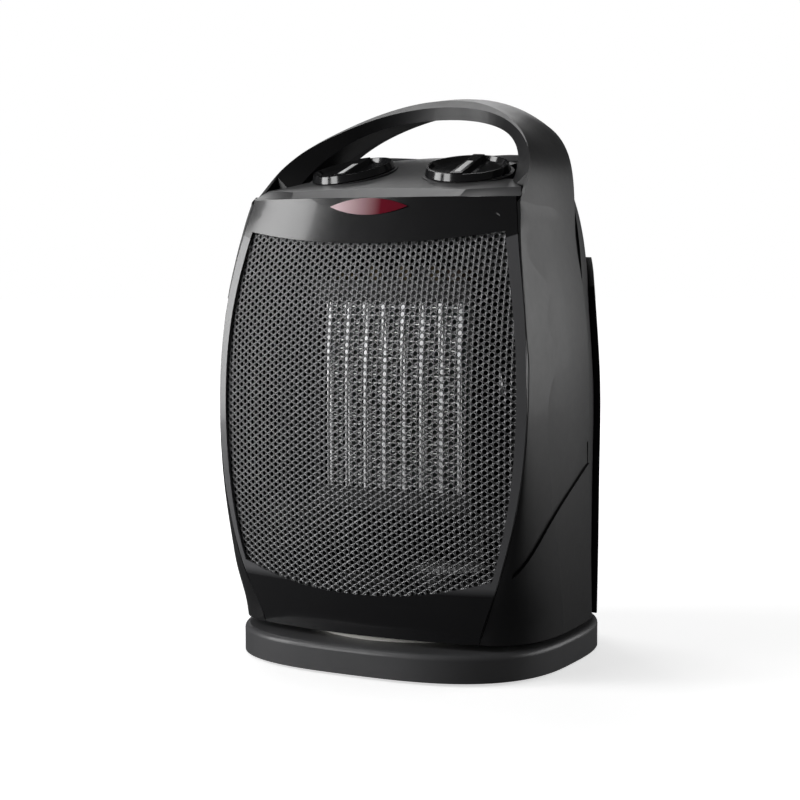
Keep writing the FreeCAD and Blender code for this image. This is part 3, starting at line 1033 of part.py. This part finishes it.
# ---------------------------------------------------------------- assembly
def make_nodes():
    nodes = {
        "base_shell": base_shell(), "base_plate": base_plate(), "rubber_feet": rubber_feet(),
        "base_screws": base_screws(), "cord_gland": cord_gland(), "glide_ring": glide_ring(),
        "ring_gear": ring_gear(), "ring_gear_screws": ring_gear_screws(),
        "tip_plunger": tip_plunger(), "tip_spring": tip_spring(), "tip_microswitch": tip_microswitch(),
        "floor_plate": floor_plate(), "pivot_retainer": pivot_retainer(), "retainer_screws": retainer_screws(),
        "swing_motor": swing_motor(), "swing_motor_screws": swing_motor_screws(), "swing_pinion": swing_pinion(),
        "terminal_block": terminal_block(),
        "main_housing": main_housing(), "rear_housing": rear_housing(), "rear_grille": rear_grille(),
        "front_frame": front_frame(), "front_grille": front_grille(), "grille_retainer": grille_retainer(),
        "control_panel": control_panel(), "indicator_lens": indicator_lens(),
        "pilot_lamp": pilot_lamp(), "lamp_holder": lamp_holder(),
        "housing_screws": housing_screws(), "cover_screws": cover_screws(),
        "ptc_bars": ptc_bars(), "ptc_fins": ptc_fins(), "ptc_holders": ptc_holders(), "ptc_terminals": ptc_terminals(),
        "duct_plate": duct_plate(), "fan_shroud": fan_shroud(), "fan_motor": fan_motor(),
        "motor_shaft": motor_shaft(), "impeller": impeller(), "impeller_nut": impeller_nut(),
        "thermal_cutout": thermal_cutout(), "thermal_fuse": thermal_fuse(),
        "swing_switch_body": swing_switch_body(), "swing_rocker": swing_rocker(),
    }
    for name, side, width, length in (("thermostat", 1, 27, 30), ("selector", -1, 25, 25)):
        nodes[name + "_body"] = on_deck(rotary_body(width, length), side)
        nodes[name + "_nut"] = on_deck(bush_nut(), side)
        nodes[name + "_shaft"] = on_deck(knob_shaft(), side)
        nodes[name + "_knob"] = on_deck(knob(), side)
        nodes[name + "_pointer"] = on_deck(turned_pointer(), side)
    return nodes


if __name__ == "__main__":
    os.makedirs("parts", exist_ok=True)
    for name, shape in make_nodes().items():
        shape.exportStep("parts/" + name + ".step")
        print(name, len(shape.Solids), shape.isValid(), round(shape.Volume / 1000, 2))
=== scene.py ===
"""Looks of a swinging ceramic fan heater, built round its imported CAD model."""

import math

import bmesh
import bpy
from mathutils import Matrix, Vector
from mathutils.bvhtree import BVHTree


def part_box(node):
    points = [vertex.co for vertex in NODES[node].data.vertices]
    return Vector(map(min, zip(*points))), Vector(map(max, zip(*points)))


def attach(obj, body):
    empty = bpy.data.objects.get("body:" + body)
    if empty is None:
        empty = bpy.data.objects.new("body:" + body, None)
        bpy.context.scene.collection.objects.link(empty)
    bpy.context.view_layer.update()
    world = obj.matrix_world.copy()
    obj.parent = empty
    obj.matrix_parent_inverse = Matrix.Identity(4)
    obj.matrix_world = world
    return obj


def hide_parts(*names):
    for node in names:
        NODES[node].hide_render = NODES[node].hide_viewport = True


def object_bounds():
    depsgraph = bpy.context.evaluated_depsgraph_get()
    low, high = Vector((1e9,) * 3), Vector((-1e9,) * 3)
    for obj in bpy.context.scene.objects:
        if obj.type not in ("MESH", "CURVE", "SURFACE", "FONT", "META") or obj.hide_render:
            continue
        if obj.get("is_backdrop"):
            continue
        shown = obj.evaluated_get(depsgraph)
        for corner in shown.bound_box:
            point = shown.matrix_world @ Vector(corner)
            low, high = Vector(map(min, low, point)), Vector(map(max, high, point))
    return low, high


bl_info = {
    "name": "Ceramic Fan Heater",
    "version": (1, 0, 0),
    "blender": (4, 5, 0),
    "location": "3D Viewport > Sidebar > Heater",
    "description": "Finishes, perforated grille and studio for a swinging ceramic fan heater",
    "category": "Object",
}

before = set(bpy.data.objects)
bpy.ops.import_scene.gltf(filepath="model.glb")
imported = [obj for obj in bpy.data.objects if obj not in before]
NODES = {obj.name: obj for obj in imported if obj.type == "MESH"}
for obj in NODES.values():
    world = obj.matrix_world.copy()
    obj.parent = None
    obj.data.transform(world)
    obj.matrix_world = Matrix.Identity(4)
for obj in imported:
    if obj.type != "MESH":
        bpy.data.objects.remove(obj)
CAD_LOW, CAD_HIGH = (Vector(corner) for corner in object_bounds())

# grille
HOLE_SIDES = 12             # edges of one punched hole
DOME_START_Y = -0.1         # the flat sheet starts in front of the dome
RIM_Y = -0.06               # depth of the sheet's edge, where cells beyond it are trimmed

# painted highlight on the strips of the front frame, and the painted highlight fading across the indicator
STRIP_SLOPE, STRIP_TOP_Z = 0.32, 0.178      # upper end of the strips: slope against |x|, height at x = 0
STRIP_LOW_Z = 0.040
STRIP_EDGE, STRIP_FOOT = 0.0006, 0.004      # how softly the strips end above and below
LENS_HIGHLIGHT_X, LENS_DEEP_X = -0.016, 0.007    # the indicator's painted highlight fades out between these
# pale pink painted on the indicator as a highlight
LENS_HIGHLIGHT_TONE = (0.95, 0.72, 0.76)

# studio
ROOM_LIGHT, PAPER_LIGHT = 0.06, 1.0         # world light on the heater, and behind it for the camera
FLOOR_RADIUS, FLOOR_GAP = 6.0, 0.0001       # the floor lies a little under the feet
PAPER_GLOW, PAPER_FAR_GLOW = 0.62, 1.1      # how much the paper lights itself for the camera, near and far
PAPER_FADE = (0.05, 0.6)    # squared distances between which the glow rises
FLOOR_BOUNCE = (0.10, 0.10, 0.10)           # the paper's colour for light that falls back on the heater
LIGHTS_AIM = (0, 0, 0.13)
CAMERA_AZIMUTH, CAMERA_DIP = 27.14, 4.95    # degrees
CAMERA_DISTANCE, CAMERA_HEIGHT = 0.8437, 0.1941
CAMERA_LENS, CAMERA_SENSOR, CAMERA_SHIFT_X = 78.6, 36.0, -0.028

# soft boxes: name, place, width, height and power
STUDIO_LIGHTS = (
    ("left_box", (-1.15, -0.65, 0.45), 0.5, 1.2, 12.0),
    ("right_box", (1.0, 0.75, 0.32), 1.3, 0.8, 7.0),
    ("front_box", (-0.8, -1.35, 0.25), 0.5, 0.7, 7.0),
    ("top_box", (-0.6, 0.45, 1.5), 0.5, 0.5, 4.0),
    ("deck_box", (-0.7, 1.2, 0.9), 0.9, 0.6, 3.5),
    ("facet_box", (-0.6, -0.75, 1.2), 0.35, 0.35, 2.0),
)


# ---------------------------------------------------------------- settings
class HeaterSizes(bpy.types.PropertyGroup):
    """Sizes of what is modelled here, in metres."""
    hole_pitch: bpy.props.FloatProperty(
        name="Hole pitch", description="Distance between neighbouring holes of one column", default=0.00315,
        unit="LENGTH")
    column_pitch: bpy.props.FloatProperty(
        name="Column pitch", description="Distance between neighbouring columns of holes", default=0.00245,
        unit="LENGTH")
    hole_width: bpy.props.FloatProperty(
        name="Hole width", description="Width across a grille hole", default=0.00205, unit="LENGTH")
    sheet_thickness: bpy.props.FloatProperty(
        name="Sheet thickness", description="Thickness of the grille's steel sheet", default=0.0007,
        unit="LENGTH")


class HeaterColours(bpy.types.PropertyGroup):
    """Colours of the heater's finishes and of the studio."""
    body: bpy.props.FloatVectorProperty(
        name="Housing", description="Satin gloss moulding of the side panels and handle", subtype="COLOR",
        size=3, min=0, max=1, default=(0.012, 0.012, 0.013))
    deck: bpy.props.FloatVectorProperty(
        name="Deck", description="Satin moulding of the control deck", subtype="COLOR", size=3, min=0,
        max=1, default=(0.045, 0.045, 0.047))
    # painted highlight: the strips' lighter grey stands in for the light they catch
    strip_highlight: bpy.props.FloatVectorProperty(
        name="Trim strips", description="Lighter strips beside the grille", subtype="COLOR", size=3, min=0,
        max=1, default=(0.13, 0.13, 0.135))
    matte: bpy.props.FloatVectorProperty(
        name="Rear", description="Textured moulding of the rear parts", subtype="COLOR", size=3, min=0,
        max=1, default=(0.014, 0.014, 0.015))
    plinth: bpy.props.FloatVectorProperty(
        name="Plinth", description="Satin moulding of the plinth", subtype="COLOR", size=3, min=0, max=1,
        default=(0.075, 0.075, 0.078))
    grille: bpy.props.FloatVectorProperty(
        name="Grille", description="Coat of the perforated steel", subtype="COLOR", size=3, min=0, max=1,
        default=(0.25, 0.25, 0.255))
    lens: bpy.props.FloatVectorProperty(
        name="Indicator", description="Red of the indicator lens", subtype="COLOR", size=3, min=0, max=1,
        default=(0.17, 0.003, 0.016))
    pointer: bpy.props.FloatVectorProperty(
        name="Pointer", description="White inlay of the knobs", subtype="COLOR", size=3, min=0, max=1,
        default=(0.9, 0.9, 0.9))
    floor: bpy.props.FloatVectorProperty(
        name="Floor", description="Studio floor", subtype="COLOR", size=3, min=0, max=1,
        default=(0.9, 0.9, 0.9))


def sizes():
    return bpy.context.scene.heater_sizes


def colours():
    return bpy.context.scene.heater_colours


# ---------------------------------------------------------------- materials
def new_material(name):
    material = bpy.data.materials.new(name)
    material.use_nodes = True
    return material, material.node_tree, material.node_tree.nodes["Principled BSDF"]


def noise(tree, scale, detail=3.0, roughness=0.55):
    """Noise on the piece's own coordinates, with scale in features per metre."""
    place = tree.nodes.new("ShaderNodeTexCoord")
    texture = tree.nodes.new("ShaderNodeTexNoise")
    texture.inputs["Scale"].default_value = scale
    texture.inputs["Detail"].default_value = detail
    texture.inputs["Roughness"].default_value = roughness
    tree.links.new(place.outputs["Object"], texture.inputs["Vector"])
    return texture.outputs["Fac"]


def remap(tree, value, low, high):
    """Maps 0..1 to low..high."""
    node = tree.nodes.new("ShaderNodeMapRange")
    node.inputs["To Min"].default_value = low
    node.inputs["To Max"].default_value = high
    tree.links.new(value, node.inputs["Value"])
    return node.outputs["Result"]


def bump(tree, height, strength, distance):
    node = tree.nodes.new("ShaderNodeBump")
    node.inputs["Strength"].default_value = strength
    node.inputs["Distance"].default_value = distance
    tree.links.new(height, node.inputs["Height"])
    return node.outputs["Normal"]


def mix_colour(tree, factor, first, second):
    """Colour between two, by a factor socket. Each colour is a tuple or a socket."""
    node = tree.nodes.new("ShaderNodeMix")
    node.data_type = "RGBA"
    tree.links.new(factor, node.inputs["Factor"])
    for key, colour in (("A", first), ("B", second)):
        socket = [s for s in node.inputs if s.name == key and s.type == "RGBA"][0]
        if isinstance(colour, bpy.types.NodeSocket):
            tree.links.new(colour, socket)
        else:
            socket.default_value = (*colour, 1.0)
    return [s for s in node.outputs if s.type == "RGBA"][0]


def position(tree, axis):
    """One coordinate of the piece, in metres."""
    place = tree.nodes.new("ShaderNodeTexCoord")
    parts = tree.nodes.new("ShaderNodeSeparateXYZ")
    tree.links.new(place.outputs["Object"], parts.inputs["Vector"])
    return parts.outputs[axis]


def math_node(tree, operation, *values):
    """Arithmetic on sockets and plain numbers."""
    node = tree.nodes.new("ShaderNodeMath")
    node.operation = operation
    for socket, value in zip(node.inputs, values):
        if isinstance(value, bpy.types.NodeSocket):
            tree.links.new(value, socket)
        else:
            socket.default_value = value
    return node.outputs["Value"]


def step(tree, value, low, high):
    """Rises from 0 at low to 1 at high, and stays there."""
    node = tree.nodes.new("ShaderNodeMapRange")
    node.inputs["From Min"].default_value = low
    node.inputs["From Max"].default_value = high
    tree.links.new(value, node.inputs["Value"])
    return node.outputs["Result"]


def shade(colour, factor):
    return tuple(min(1.0, channel * factor) for channel in colour)


def moulded(name, colour, roughness, grain=0.0, grain_scale=2600, coat=0.0, mottling=0.12):
    """Moulded plastic: faint mottling, uneven gloss and, where asked, a spark-eroded grain."""
    material, tree, surface = new_material(name)
    cloud = noise(tree, 70)
    colour_mix = mix_colour(tree, cloud, shade(colour, 1 - mottling), shade(colour, 1 + mottling))
    tree.links.new(colour_mix, surface.inputs["Base Color"])
    gloss = remap(tree, noise(tree, 240), roughness * 0.88, roughness * 1.12)
    tree.links.new(gloss, surface.inputs["Roughness"])
    if grain:
        tree.links.new(bump(tree, noise(tree, grain_scale, 2.0), grain, 0.00012), surface.inputs["Normal"])
    surface.inputs["Coat Weight"].default_value = coat
    surface.inputs["Coat Roughness"].default_value = 0.08
    return material


def metal(name, colour, roughness, scratch=(1, 1, 1)):
    """Bare metal with fine drawn lines along one direction."""
    material, tree, surface = new_material(name)
    place = tree.nodes.new("ShaderNodeTexCoord")
    mapping = tree.nodes.new("ShaderNodeMapping")
    mapping.inputs["Scale"].default_value = scratch
    texture = tree.nodes.new("ShaderNodeTexNoise")
    texture.inputs["Scale"].default_value = 900
    tree.links.new(place.outputs["Object"], mapping.inputs["Vector"])
    tree.links.new(mapping.outputs["Vector"], texture.inputs["Vector"])
    lines = texture.outputs["Fac"]
    tone = mix_colour(tree, lines, shade(colour, 0.85), shade(colour, 1.1))
    tree.links.new(tone, surface.inputs["Base Color"])
    tree.links.new(remap(tree, lines, roughness * 0.75, roughness * 1.25), surface.inputs["Roughness"])
    surface.inputs["Metallic"].default_value = 1.0
    return material


def paint(names, material):
    for name in names:
        NODES[name].data.materials.clear()
        NODES[name].data.materials.append(material)


# ---------------------------------------------------------------- small model helpers
def add_piece(name, mesh, body, material):
    piece = bpy.data.objects.new(name, mesh)
    bpy.context.collection.objects.link(piece)
    piece.data.materials.append(material)
    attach(piece, body)
    return piece


def to_mesh(name, shape, smooth_below=30.0):
    """Turns a bmesh into a mesh with smooth shading and sharp edges above an angle."""
    mesh = bpy.data.meshes.new(name)
    shape.to_mesh(mesh)
    shape.free()
    mesh.polygons.foreach_set("use_smooth", [True] * len(mesh.polygons))
    mesh.set_sharp_from_angle(angle=math.radians(smooth_below))
    return mesh


def surface_tree(node):
    """Search tree of a CAD node's surface, in the row frame."""
    obj = NODES[node]
    verts = [obj.matrix_world @ v.co for v in obj.data.vertices]
    return BVHTree.FromPolygons(verts, [p.vertices[:] for p in obj.data.polygons])


# ---------------------------------------------------------------- operators
class HEATER_OT_housing(bpy.types.Operator):
    """Finish the housing, handle, deck, frame and rear parts"""
    bl_idname = "heater.housing"
    bl_label = "Housing finishes"

    def execute(self, context):
        tones = colours()
        paint(["main_housing"], moulded("housing_satin", tones.body, 0.42, coat=0.05))
        paint(["front_frame"], self.frame_gloss_and_highlight())
        paint(["control_panel"], moulded("deck_satin", tones.deck, 0.36))
        matte = moulded("rear_matte", tones.matte, 0.5, grain=0.35)
        paint(["rear_housing", "rear_grille"], matte)
        return {"FINISHED"}


    def frame_gloss_and_highlight(self):
        """Dark gloss fascia, with a painted highlight: a lighter grey colour on the strips beside the
        window.
        """
        material = moulded("frame_gloss", colours().body, 0.22, coat=0.3)
        tree = material.node_tree
        surface = tree.nodes["Principled BSDF"]
        across, height = position(tree, "X"), position(tree, "Z")
        side = math_node(tree, "ABSOLUTE", across)
        line = math_node(tree, "ADD", math_node(tree, "MULTIPLY", side, STRIP_SLOPE), STRIP_TOP_Z)
        below = step(tree, math_node(tree, "SUBTRACT", line, height), 0.0, STRIP_EDGE)
        above = step(tree, height, STRIP_LOW_Z, STRIP_LOW_Z + STRIP_FOOT)
        # mask of the strips, where a lighter grey is painted as a highlight
        highlight_mask = math_node(tree, "MULTIPLY", below, above)
        base = surface.inputs["Base Color"].links[0].from_socket
        tree.links.new(mix_colour(tree, highlight_mask, base, tuple(colours().strip_highlight)), surface.inputs["Base Color"])
        return material


class HEATER_OT_plinth(bpy.types.Operator):
    """Finish the plinth and what shows under it"""
    bl_idname = "heater.plinth"
    bl_label = "Plinth finishes"

    def execute(self, context):
        tones = colours()
        paint(["base_shell"], moulded("plinth_satin", tones.plinth, 0.40, coat=0.1))
        paint(["base_plate", "floor_plate"], moulded("plate_matte", tones.matte, 0.55, grain=0.3))
        paint(["rubber_feet", "cord_gland"], moulded("soft_rubber", (0.02, 0.02, 0.02), 0.75, grain=0.2))
        return {"FINISHED"}


class HEATER_OT_controls(bpy.types.Operator):
    """Finish the knobs, their pointers and the indicator"""
    bl_idname = "heater.controls"
    bl_label = "Knobs and indicator"

    def execute(self, context):
        tones = colours()
        paint(["thermostat_knob", "selector_knob"], moulded("knob_gloss", tones.body, 0.16, coat=0.5))
        paint(["thermostat_pointer", "selector_pointer"], moulded("pointer_white", tones.pointer, 0.35))
        paint(["indicator_lens"], self.lens_red_and_highlight())
        paint(["swing_switch_body", "swing_rocker"], moulded("switch_satin", tones.body, 0.3))
        return {"FINISHED"}


    def lens_red_and_highlight(self):
        """Clear red, with a painted highlight: paler pink towards the left end."""
        material = moulded("lens_red", colours().lens, 0.08, coat=1.0)
        tree = material.node_tree
        surface = tree.nodes["Principled BSDF"]
        base = surface.inputs["Base Color"].links[0].from_socket
        across = step(tree, position(tree, "X"), LENS_HIGHLIGHT_X, LENS_DEEP_X)
        # paler pink painted as a highlight towards the left end
        tree.links.new(mix_colour(tree, across, LENS_HIGHLIGHT_TONE, base), surface.inputs["Base Color"])
        return material


class HEATER_OT_grille(bpy.types.Operator):
    """Perforated steel grille, laid on the dome of the plain CAD sheet that it stands for"""
    bl_idname = "heater.grille"
    bl_label = "Grille"

    def execute(self, context):
        shape = self.perforated_sheet()
        self.lay_on_dome(shape)
        mesh = to_mesh("grille", shape, 40.0)
        piece = add_piece("grille", mesh, "heater", self.coat())
        wall = piece.modifiers.new("sheet", "SOLIDIFY")
        wall.thickness, wall.offset = sizes().sheet_thickness, -1.0
        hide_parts("front_grille")
        return {"FINISHED"}

    def perforated_sheet(self):
        """Flat honeycomb of holed cells in the XZ plane, covering the box of the CAD sheet."""
        pitch, across, hole = sizes().hole_pitch, sizes().column_pitch, sizes().hole_width / 2
        low, high = (Vector(corner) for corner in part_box("front_grille"))
        rows = math.ceil((high.z - low.z) / pitch) + 2
        columns = 2 * math.ceil((high.x - low.x) / across / 2) + 3
        shape = bmesh.new()
        outer = bmesh.ops.create_circle(shape, segments=6, radius=pitch / math.sqrt(3))["verts"]
        bmesh.ops.create_circle(shape, segments=HOLE_SIDES, radius=hole)
        bmesh.ops.scale(shape, verts=outer, vec=(across / (pitch * math.sqrt(3) / 2), 1, 1))
        bmesh.ops.bridge_loops(shape, edges=shape.edges[:])
        bmesh.ops.rotate(shape, verts=shape.verts[:], matrix=Matrix.Rotation(math.pi / 2, 3, "X"))
        bmesh.ops.translate(shape, verts=shape.verts[:], vec=(low.x, DOME_START_Y, low.z))
        self.repeat(shape, Vector((0, 0, pitch)), rows)
        second = self.copy_all(shape)
        bmesh.ops.translate(shape, verts=second, vec=(across, 0, pitch / 2))
        self.repeat(shape, Vector((2 * across, 0, 0)), columns // 2 + 1)
        bmesh.ops.remove_doubles(shape, verts=shape.verts[:], dist=pitch * 0.05)
        return shape

    def copy_all(self, shape):
        made = bmesh.ops.duplicate(shape, geom=shape.verts[:] + shape.edges[:] + shape.faces[:])["geom"]
        return [part for part in made if isinstance(part, bmesh.types.BMVert)]

    def repeat(self, shape, step, count):
        """Repeats everything along a step, doubling each time until there are at least count copies."""
        done = 1
        while done < count:
            bmesh.ops.translate(shape, verts=self.copy_all(shape), vec=step * done)
            done *= 2

    def lay_on_dome(self, shape):
        """Drops each vertex on the front of the CAD sheet and trims the cells beyond its outline."""
        tree = surface_tree("front_grille")
        forward = Vector((0, 1, 0))
        outside = set()
        for vert in shape.verts:
            hit = tree.ray_cast(vert.co, forward)[0]
            if hit is None:
                outside.add(vert)
            else:
                vert.co = hit
        lost = [face for face in shape.faces if all(vert in outside for vert in face.verts)]
        bmesh.ops.delete(shape, geom=lost, context="FACES")
        loose = [vert for vert in shape.verts if not vert.link_faces]
        bmesh.ops.delete(shape, geom=loose, context="VERTS")
        for vert in shape.verts:
            if vert in outside:
                near = tree.find_nearest(Vector((vert.co.x, RIM_Y, vert.co.z)))[0]
                vert.co = near
        bmesh.ops.recalc_face_normals(shape, faces=shape.faces[:])
        face = min(shape.faces, key=lambda item: item.calc_center_median().y)
        if face.normal.y > 0:
            bmesh.ops.reverse_faces(shape, faces=shape.faces[:])

    def coat(self):
        """Grey metallic coat, a little uneven in tone and gloss."""
        material, tree, surface = new_material("grille_coat")
        tone = tuple(colours().grille)
        cloud = noise(tree, 90)
        uneven = mix_colour(tree, cloud, shade(tone, 0.85), shade(tone, 1.15))
        tree.links.new(uneven, surface.inputs["Base Color"])
        tree.links.new(remap(tree, noise(tree, 700), 0.38, 0.50), surface.inputs["Roughness"])
        tree.links.new(bump(tree, noise(tree, 5200, 2.0), 0.12, 0.00005), surface.inputs["Normal"])
        surface.inputs["Metallic"].default_value = 0.9
        return material


class HEATER_OT_insides(bpy.types.Operator):
    """Finish the heating element, fan, motors and fixings"""
    bl_idname = "heater.insides"
    bl_label = "Insides"

    def execute(self, context):
        paint(["ptc_bars", "ptc_fins"], metal("rolled_aluminium", (0.9, 0.9, 0.91), 0.35, (0.05, 1, 1)))
        paint(["ptc_terminals", "impeller_nut", "thermal_fuse"],
              metal("dull_brass", (0.10, 0.08, 0.05), 0.6))
        paint(["fan_motor", "swing_motor", "motor_shaft", "thermostat_shaft", "selector_shaft",
               "thermostat_nut", "selector_nut", "pivot_retainer", "tip_spring", "base_screws",
               "housing_screws", "cover_screws", "retainer_screws", "ring_gear_screws",
               "swing_motor_screws"],
              metal("zinc_plate", (0.62, 0.62, 0.63), 0.32))
        paint(["ptc_holders"], moulded("holder_grey", (0.05, 0.05, 0.05), 0.6, grain=0.2))
        paint(["thermal_cutout", "thermostat_body"],
              moulded("phenolic_brown", (0.06, 0.035, 0.02), 0.5, grain=0.2))
        paint(["ring_gear", "swing_pinion", "glide_ring", "tip_plunger", "terminal_block"],
              moulded("nylon", (0.74, 0.73, 0.68), 0.45, grain=0.1))
        paint(["duct_plate", "fan_shroud", "grille_retainer", "lamp_holder", "selector_body",
               "tip_microswitch"],
              moulded("heatproof_black", (0.02, 0.02, 0.02), 0.55, grain=0.3))
        paint(["impeller"], moulded("impeller_grey", (0.06, 0.06, 0.06), 0.4))
        paint(["pilot_lamp"], moulded("lamp_glass", (0.9, 0.6, 0.45), 0.1, coat=0.6))
        return {"FINISHED"}


class HEATER_OT_stage(bpy.types.Operator):
    """Set the floor, the studio lights and the camera"""
    bl_idname = "heater.stage"
    bl_label = "Studio"

    def execute(self, context):
        context.scene.view_settings.view_transform = "Standard"
        self.add_floor()
        self.add_world()
        for name, place, width, height, power in STUDIO_LIGHTS:
            self.add_light(name, place, width, height, power)
        self.add_camera()
        return {"FINISHED"}

    def add_floor(self):
        shape = bmesh.new()
        bmesh.ops.create_circle(shape, cap_ends=True, segments=96, radius=FLOOR_RADIUS)
        floor = bpy.data.objects.new("studio_floor", to_mesh("studio_floor", shape))
        bpy.context.collection.objects.link(floor)
        floor.location.z = CAD_LOW.z - FLOOR_GAP
        floor.data.materials.append(self.paper())
        floor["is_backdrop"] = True

    def paper(self):
        """White paper that keeps a faint contact shadow and throws little light back on the heater."""
        material, tree, surface = new_material("studio_floor")
        which = tree.nodes.new("ShaderNodeLightPath")
        tone = mix_colour(tree, which.outputs["Is Camera Ray"], FLOOR_BOUNCE, tuple(colours().floor))
        tree.links.new(tone, surface.inputs["Base Color"])
        surface.inputs["Roughness"].default_value = 0.9
        surface.inputs["Specular IOR Level"].default_value = 0.0
        surface.inputs["Emission Color"].default_value = (1, 1, 1, 1)
        along, deep = position(tree, "X"), position(tree, "Y")
        away = math_node(tree, "ADD", math_node(tree, "MULTIPLY", along, along),
                         math_node(tree, "MULTIPLY", deep, deep))
        far = step(tree, away, *PAPER_FADE)
        glow = math_node(tree, "MULTIPLY", which.outputs["Is Camera Ray"],
                         remap(tree, far, PAPER_GLOW, PAPER_FAR_GLOW))
        tree.links.new(glow, surface.inputs["Emission Strength"])
        return material

    def add_world(self):
        """White where the camera looks past the floor, and a dim room for everything else."""
        world = bpy.data.worlds.new("studio")
        bpy.context.scene.world = world
        world.use_nodes = True
        tree = world.node_tree
        room = tree.nodes["Background"]
        room.inputs["Color"].default_value = (1, 1, 1, 1)
        room.inputs["Strength"].default_value = ROOM_LIGHT
        paper = tree.nodes.new("ShaderNodeBackground")
        paper.inputs["Color"].default_value = (1, 1, 1, 1)
        paper.inputs["Strength"].default_value = PAPER_LIGHT
        which = tree.nodes.new("ShaderNodeLightPath")
        mixed = tree.nodes.new("ShaderNodeMixShader")
        tree.links.new(which.outputs["Is Camera Ray"], mixed.inputs["Fac"])
        tree.links.new(room.outputs["Background"], mixed.inputs[1])
        tree.links.new(paper.outputs["Background"], mixed.inputs[2])
        tree.links.new(mixed.outputs["Shader"], tree.nodes["World Output"].inputs["Surface"])

    def add_light(self, name, place, width, height, power):
        light = bpy.data.lights.new(name, "AREA")
        light.shape = "RECTANGLE"
        light.size, light.size_y = width, height
        light.energy = power
        lamp = bpy.data.objects.new(name, light)
        bpy.context.collection.objects.link(lamp)
        lamp.location = place
        lamp.visible_camera = False
        aim = Vector(LIGHTS_AIM) - Vector(place)
        lamp.rotation_euler = aim.to_track_quat("-Z", "Y").to_euler()

    def add_camera(self):
        data = bpy.data.cameras.new("camera")
        data.lens, data.sensor_width, data.shift_x = CAMERA_LENS, CAMERA_SENSOR, CAMERA_SHIFT_X
        camera = bpy.data.objects.new("camera", data)
        bpy.context.collection.objects.link(camera)
        azimuth, dip = math.radians(CAMERA_AZIMUTH), math.radians(CAMERA_DIP)
        camera.location = (CAMERA_DISTANCE * math.sin(azimuth), -CAMERA_DISTANCE * math.cos(azimuth),
                           CAMERA_HEIGHT)
        camera.rotation_euler = (math.pi / 2 - dip, 0.0, azimuth)
        bpy.context.scene.camera = camera


class HEATER_PT_sidebar(bpy.types.Panel):
    """Buttons for each group of pieces, and the sizes and colours"""
    bl_idname = "HEATER_PT_sidebar"
    bl_label = "Ceramic Fan Heater"
    bl_space_type = "VIEW_3D"
    bl_region_type = "UI"
    bl_category = "Heater"

    def draw(self, context):
        layout = self.layout
        for settings in (sizes(), colours()):
            for key in settings.__annotations__:
                layout.prop(settings, key)
        for cls in OPERATORS:
            layout.operator(cls.bl_idname)


OPERATORS = (HEATER_OT_housing, HEATER_OT_plinth, HEATER_OT_controls, HEATER_OT_grille, HEATER_OT_insides,
             HEATER_OT_stage)
CLASSES = (HeaterSizes, HeaterColours, *OPERATORS, HEATER_PT_sidebar)


def register():
    for cls in CLASSES:
        bpy.utils.register_class(cls)
    bpy.types.Scene.heater_sizes = bpy.props.PointerProperty(type=HeaterSizes)
    bpy.types.Scene.heater_colours = bpy.props.PointerProperty(type=HeaterColours)


def unregister():
    del bpy.types.Scene.heater_colours
    del bpy.types.Scene.heater_sizes
    for cls in reversed(CLASSES):
        bpy.utils.unregister_class(cls)


def main():
    register()
    bpy.ops.heater.housing()
    bpy.ops.heater.plinth()
    bpy.ops.heater.controls()
    bpy.ops.heater.grille()
    bpy.ops.heater.insides()
    bpy.ops.heater.stage()


if __name__ == "__main__":
    main()
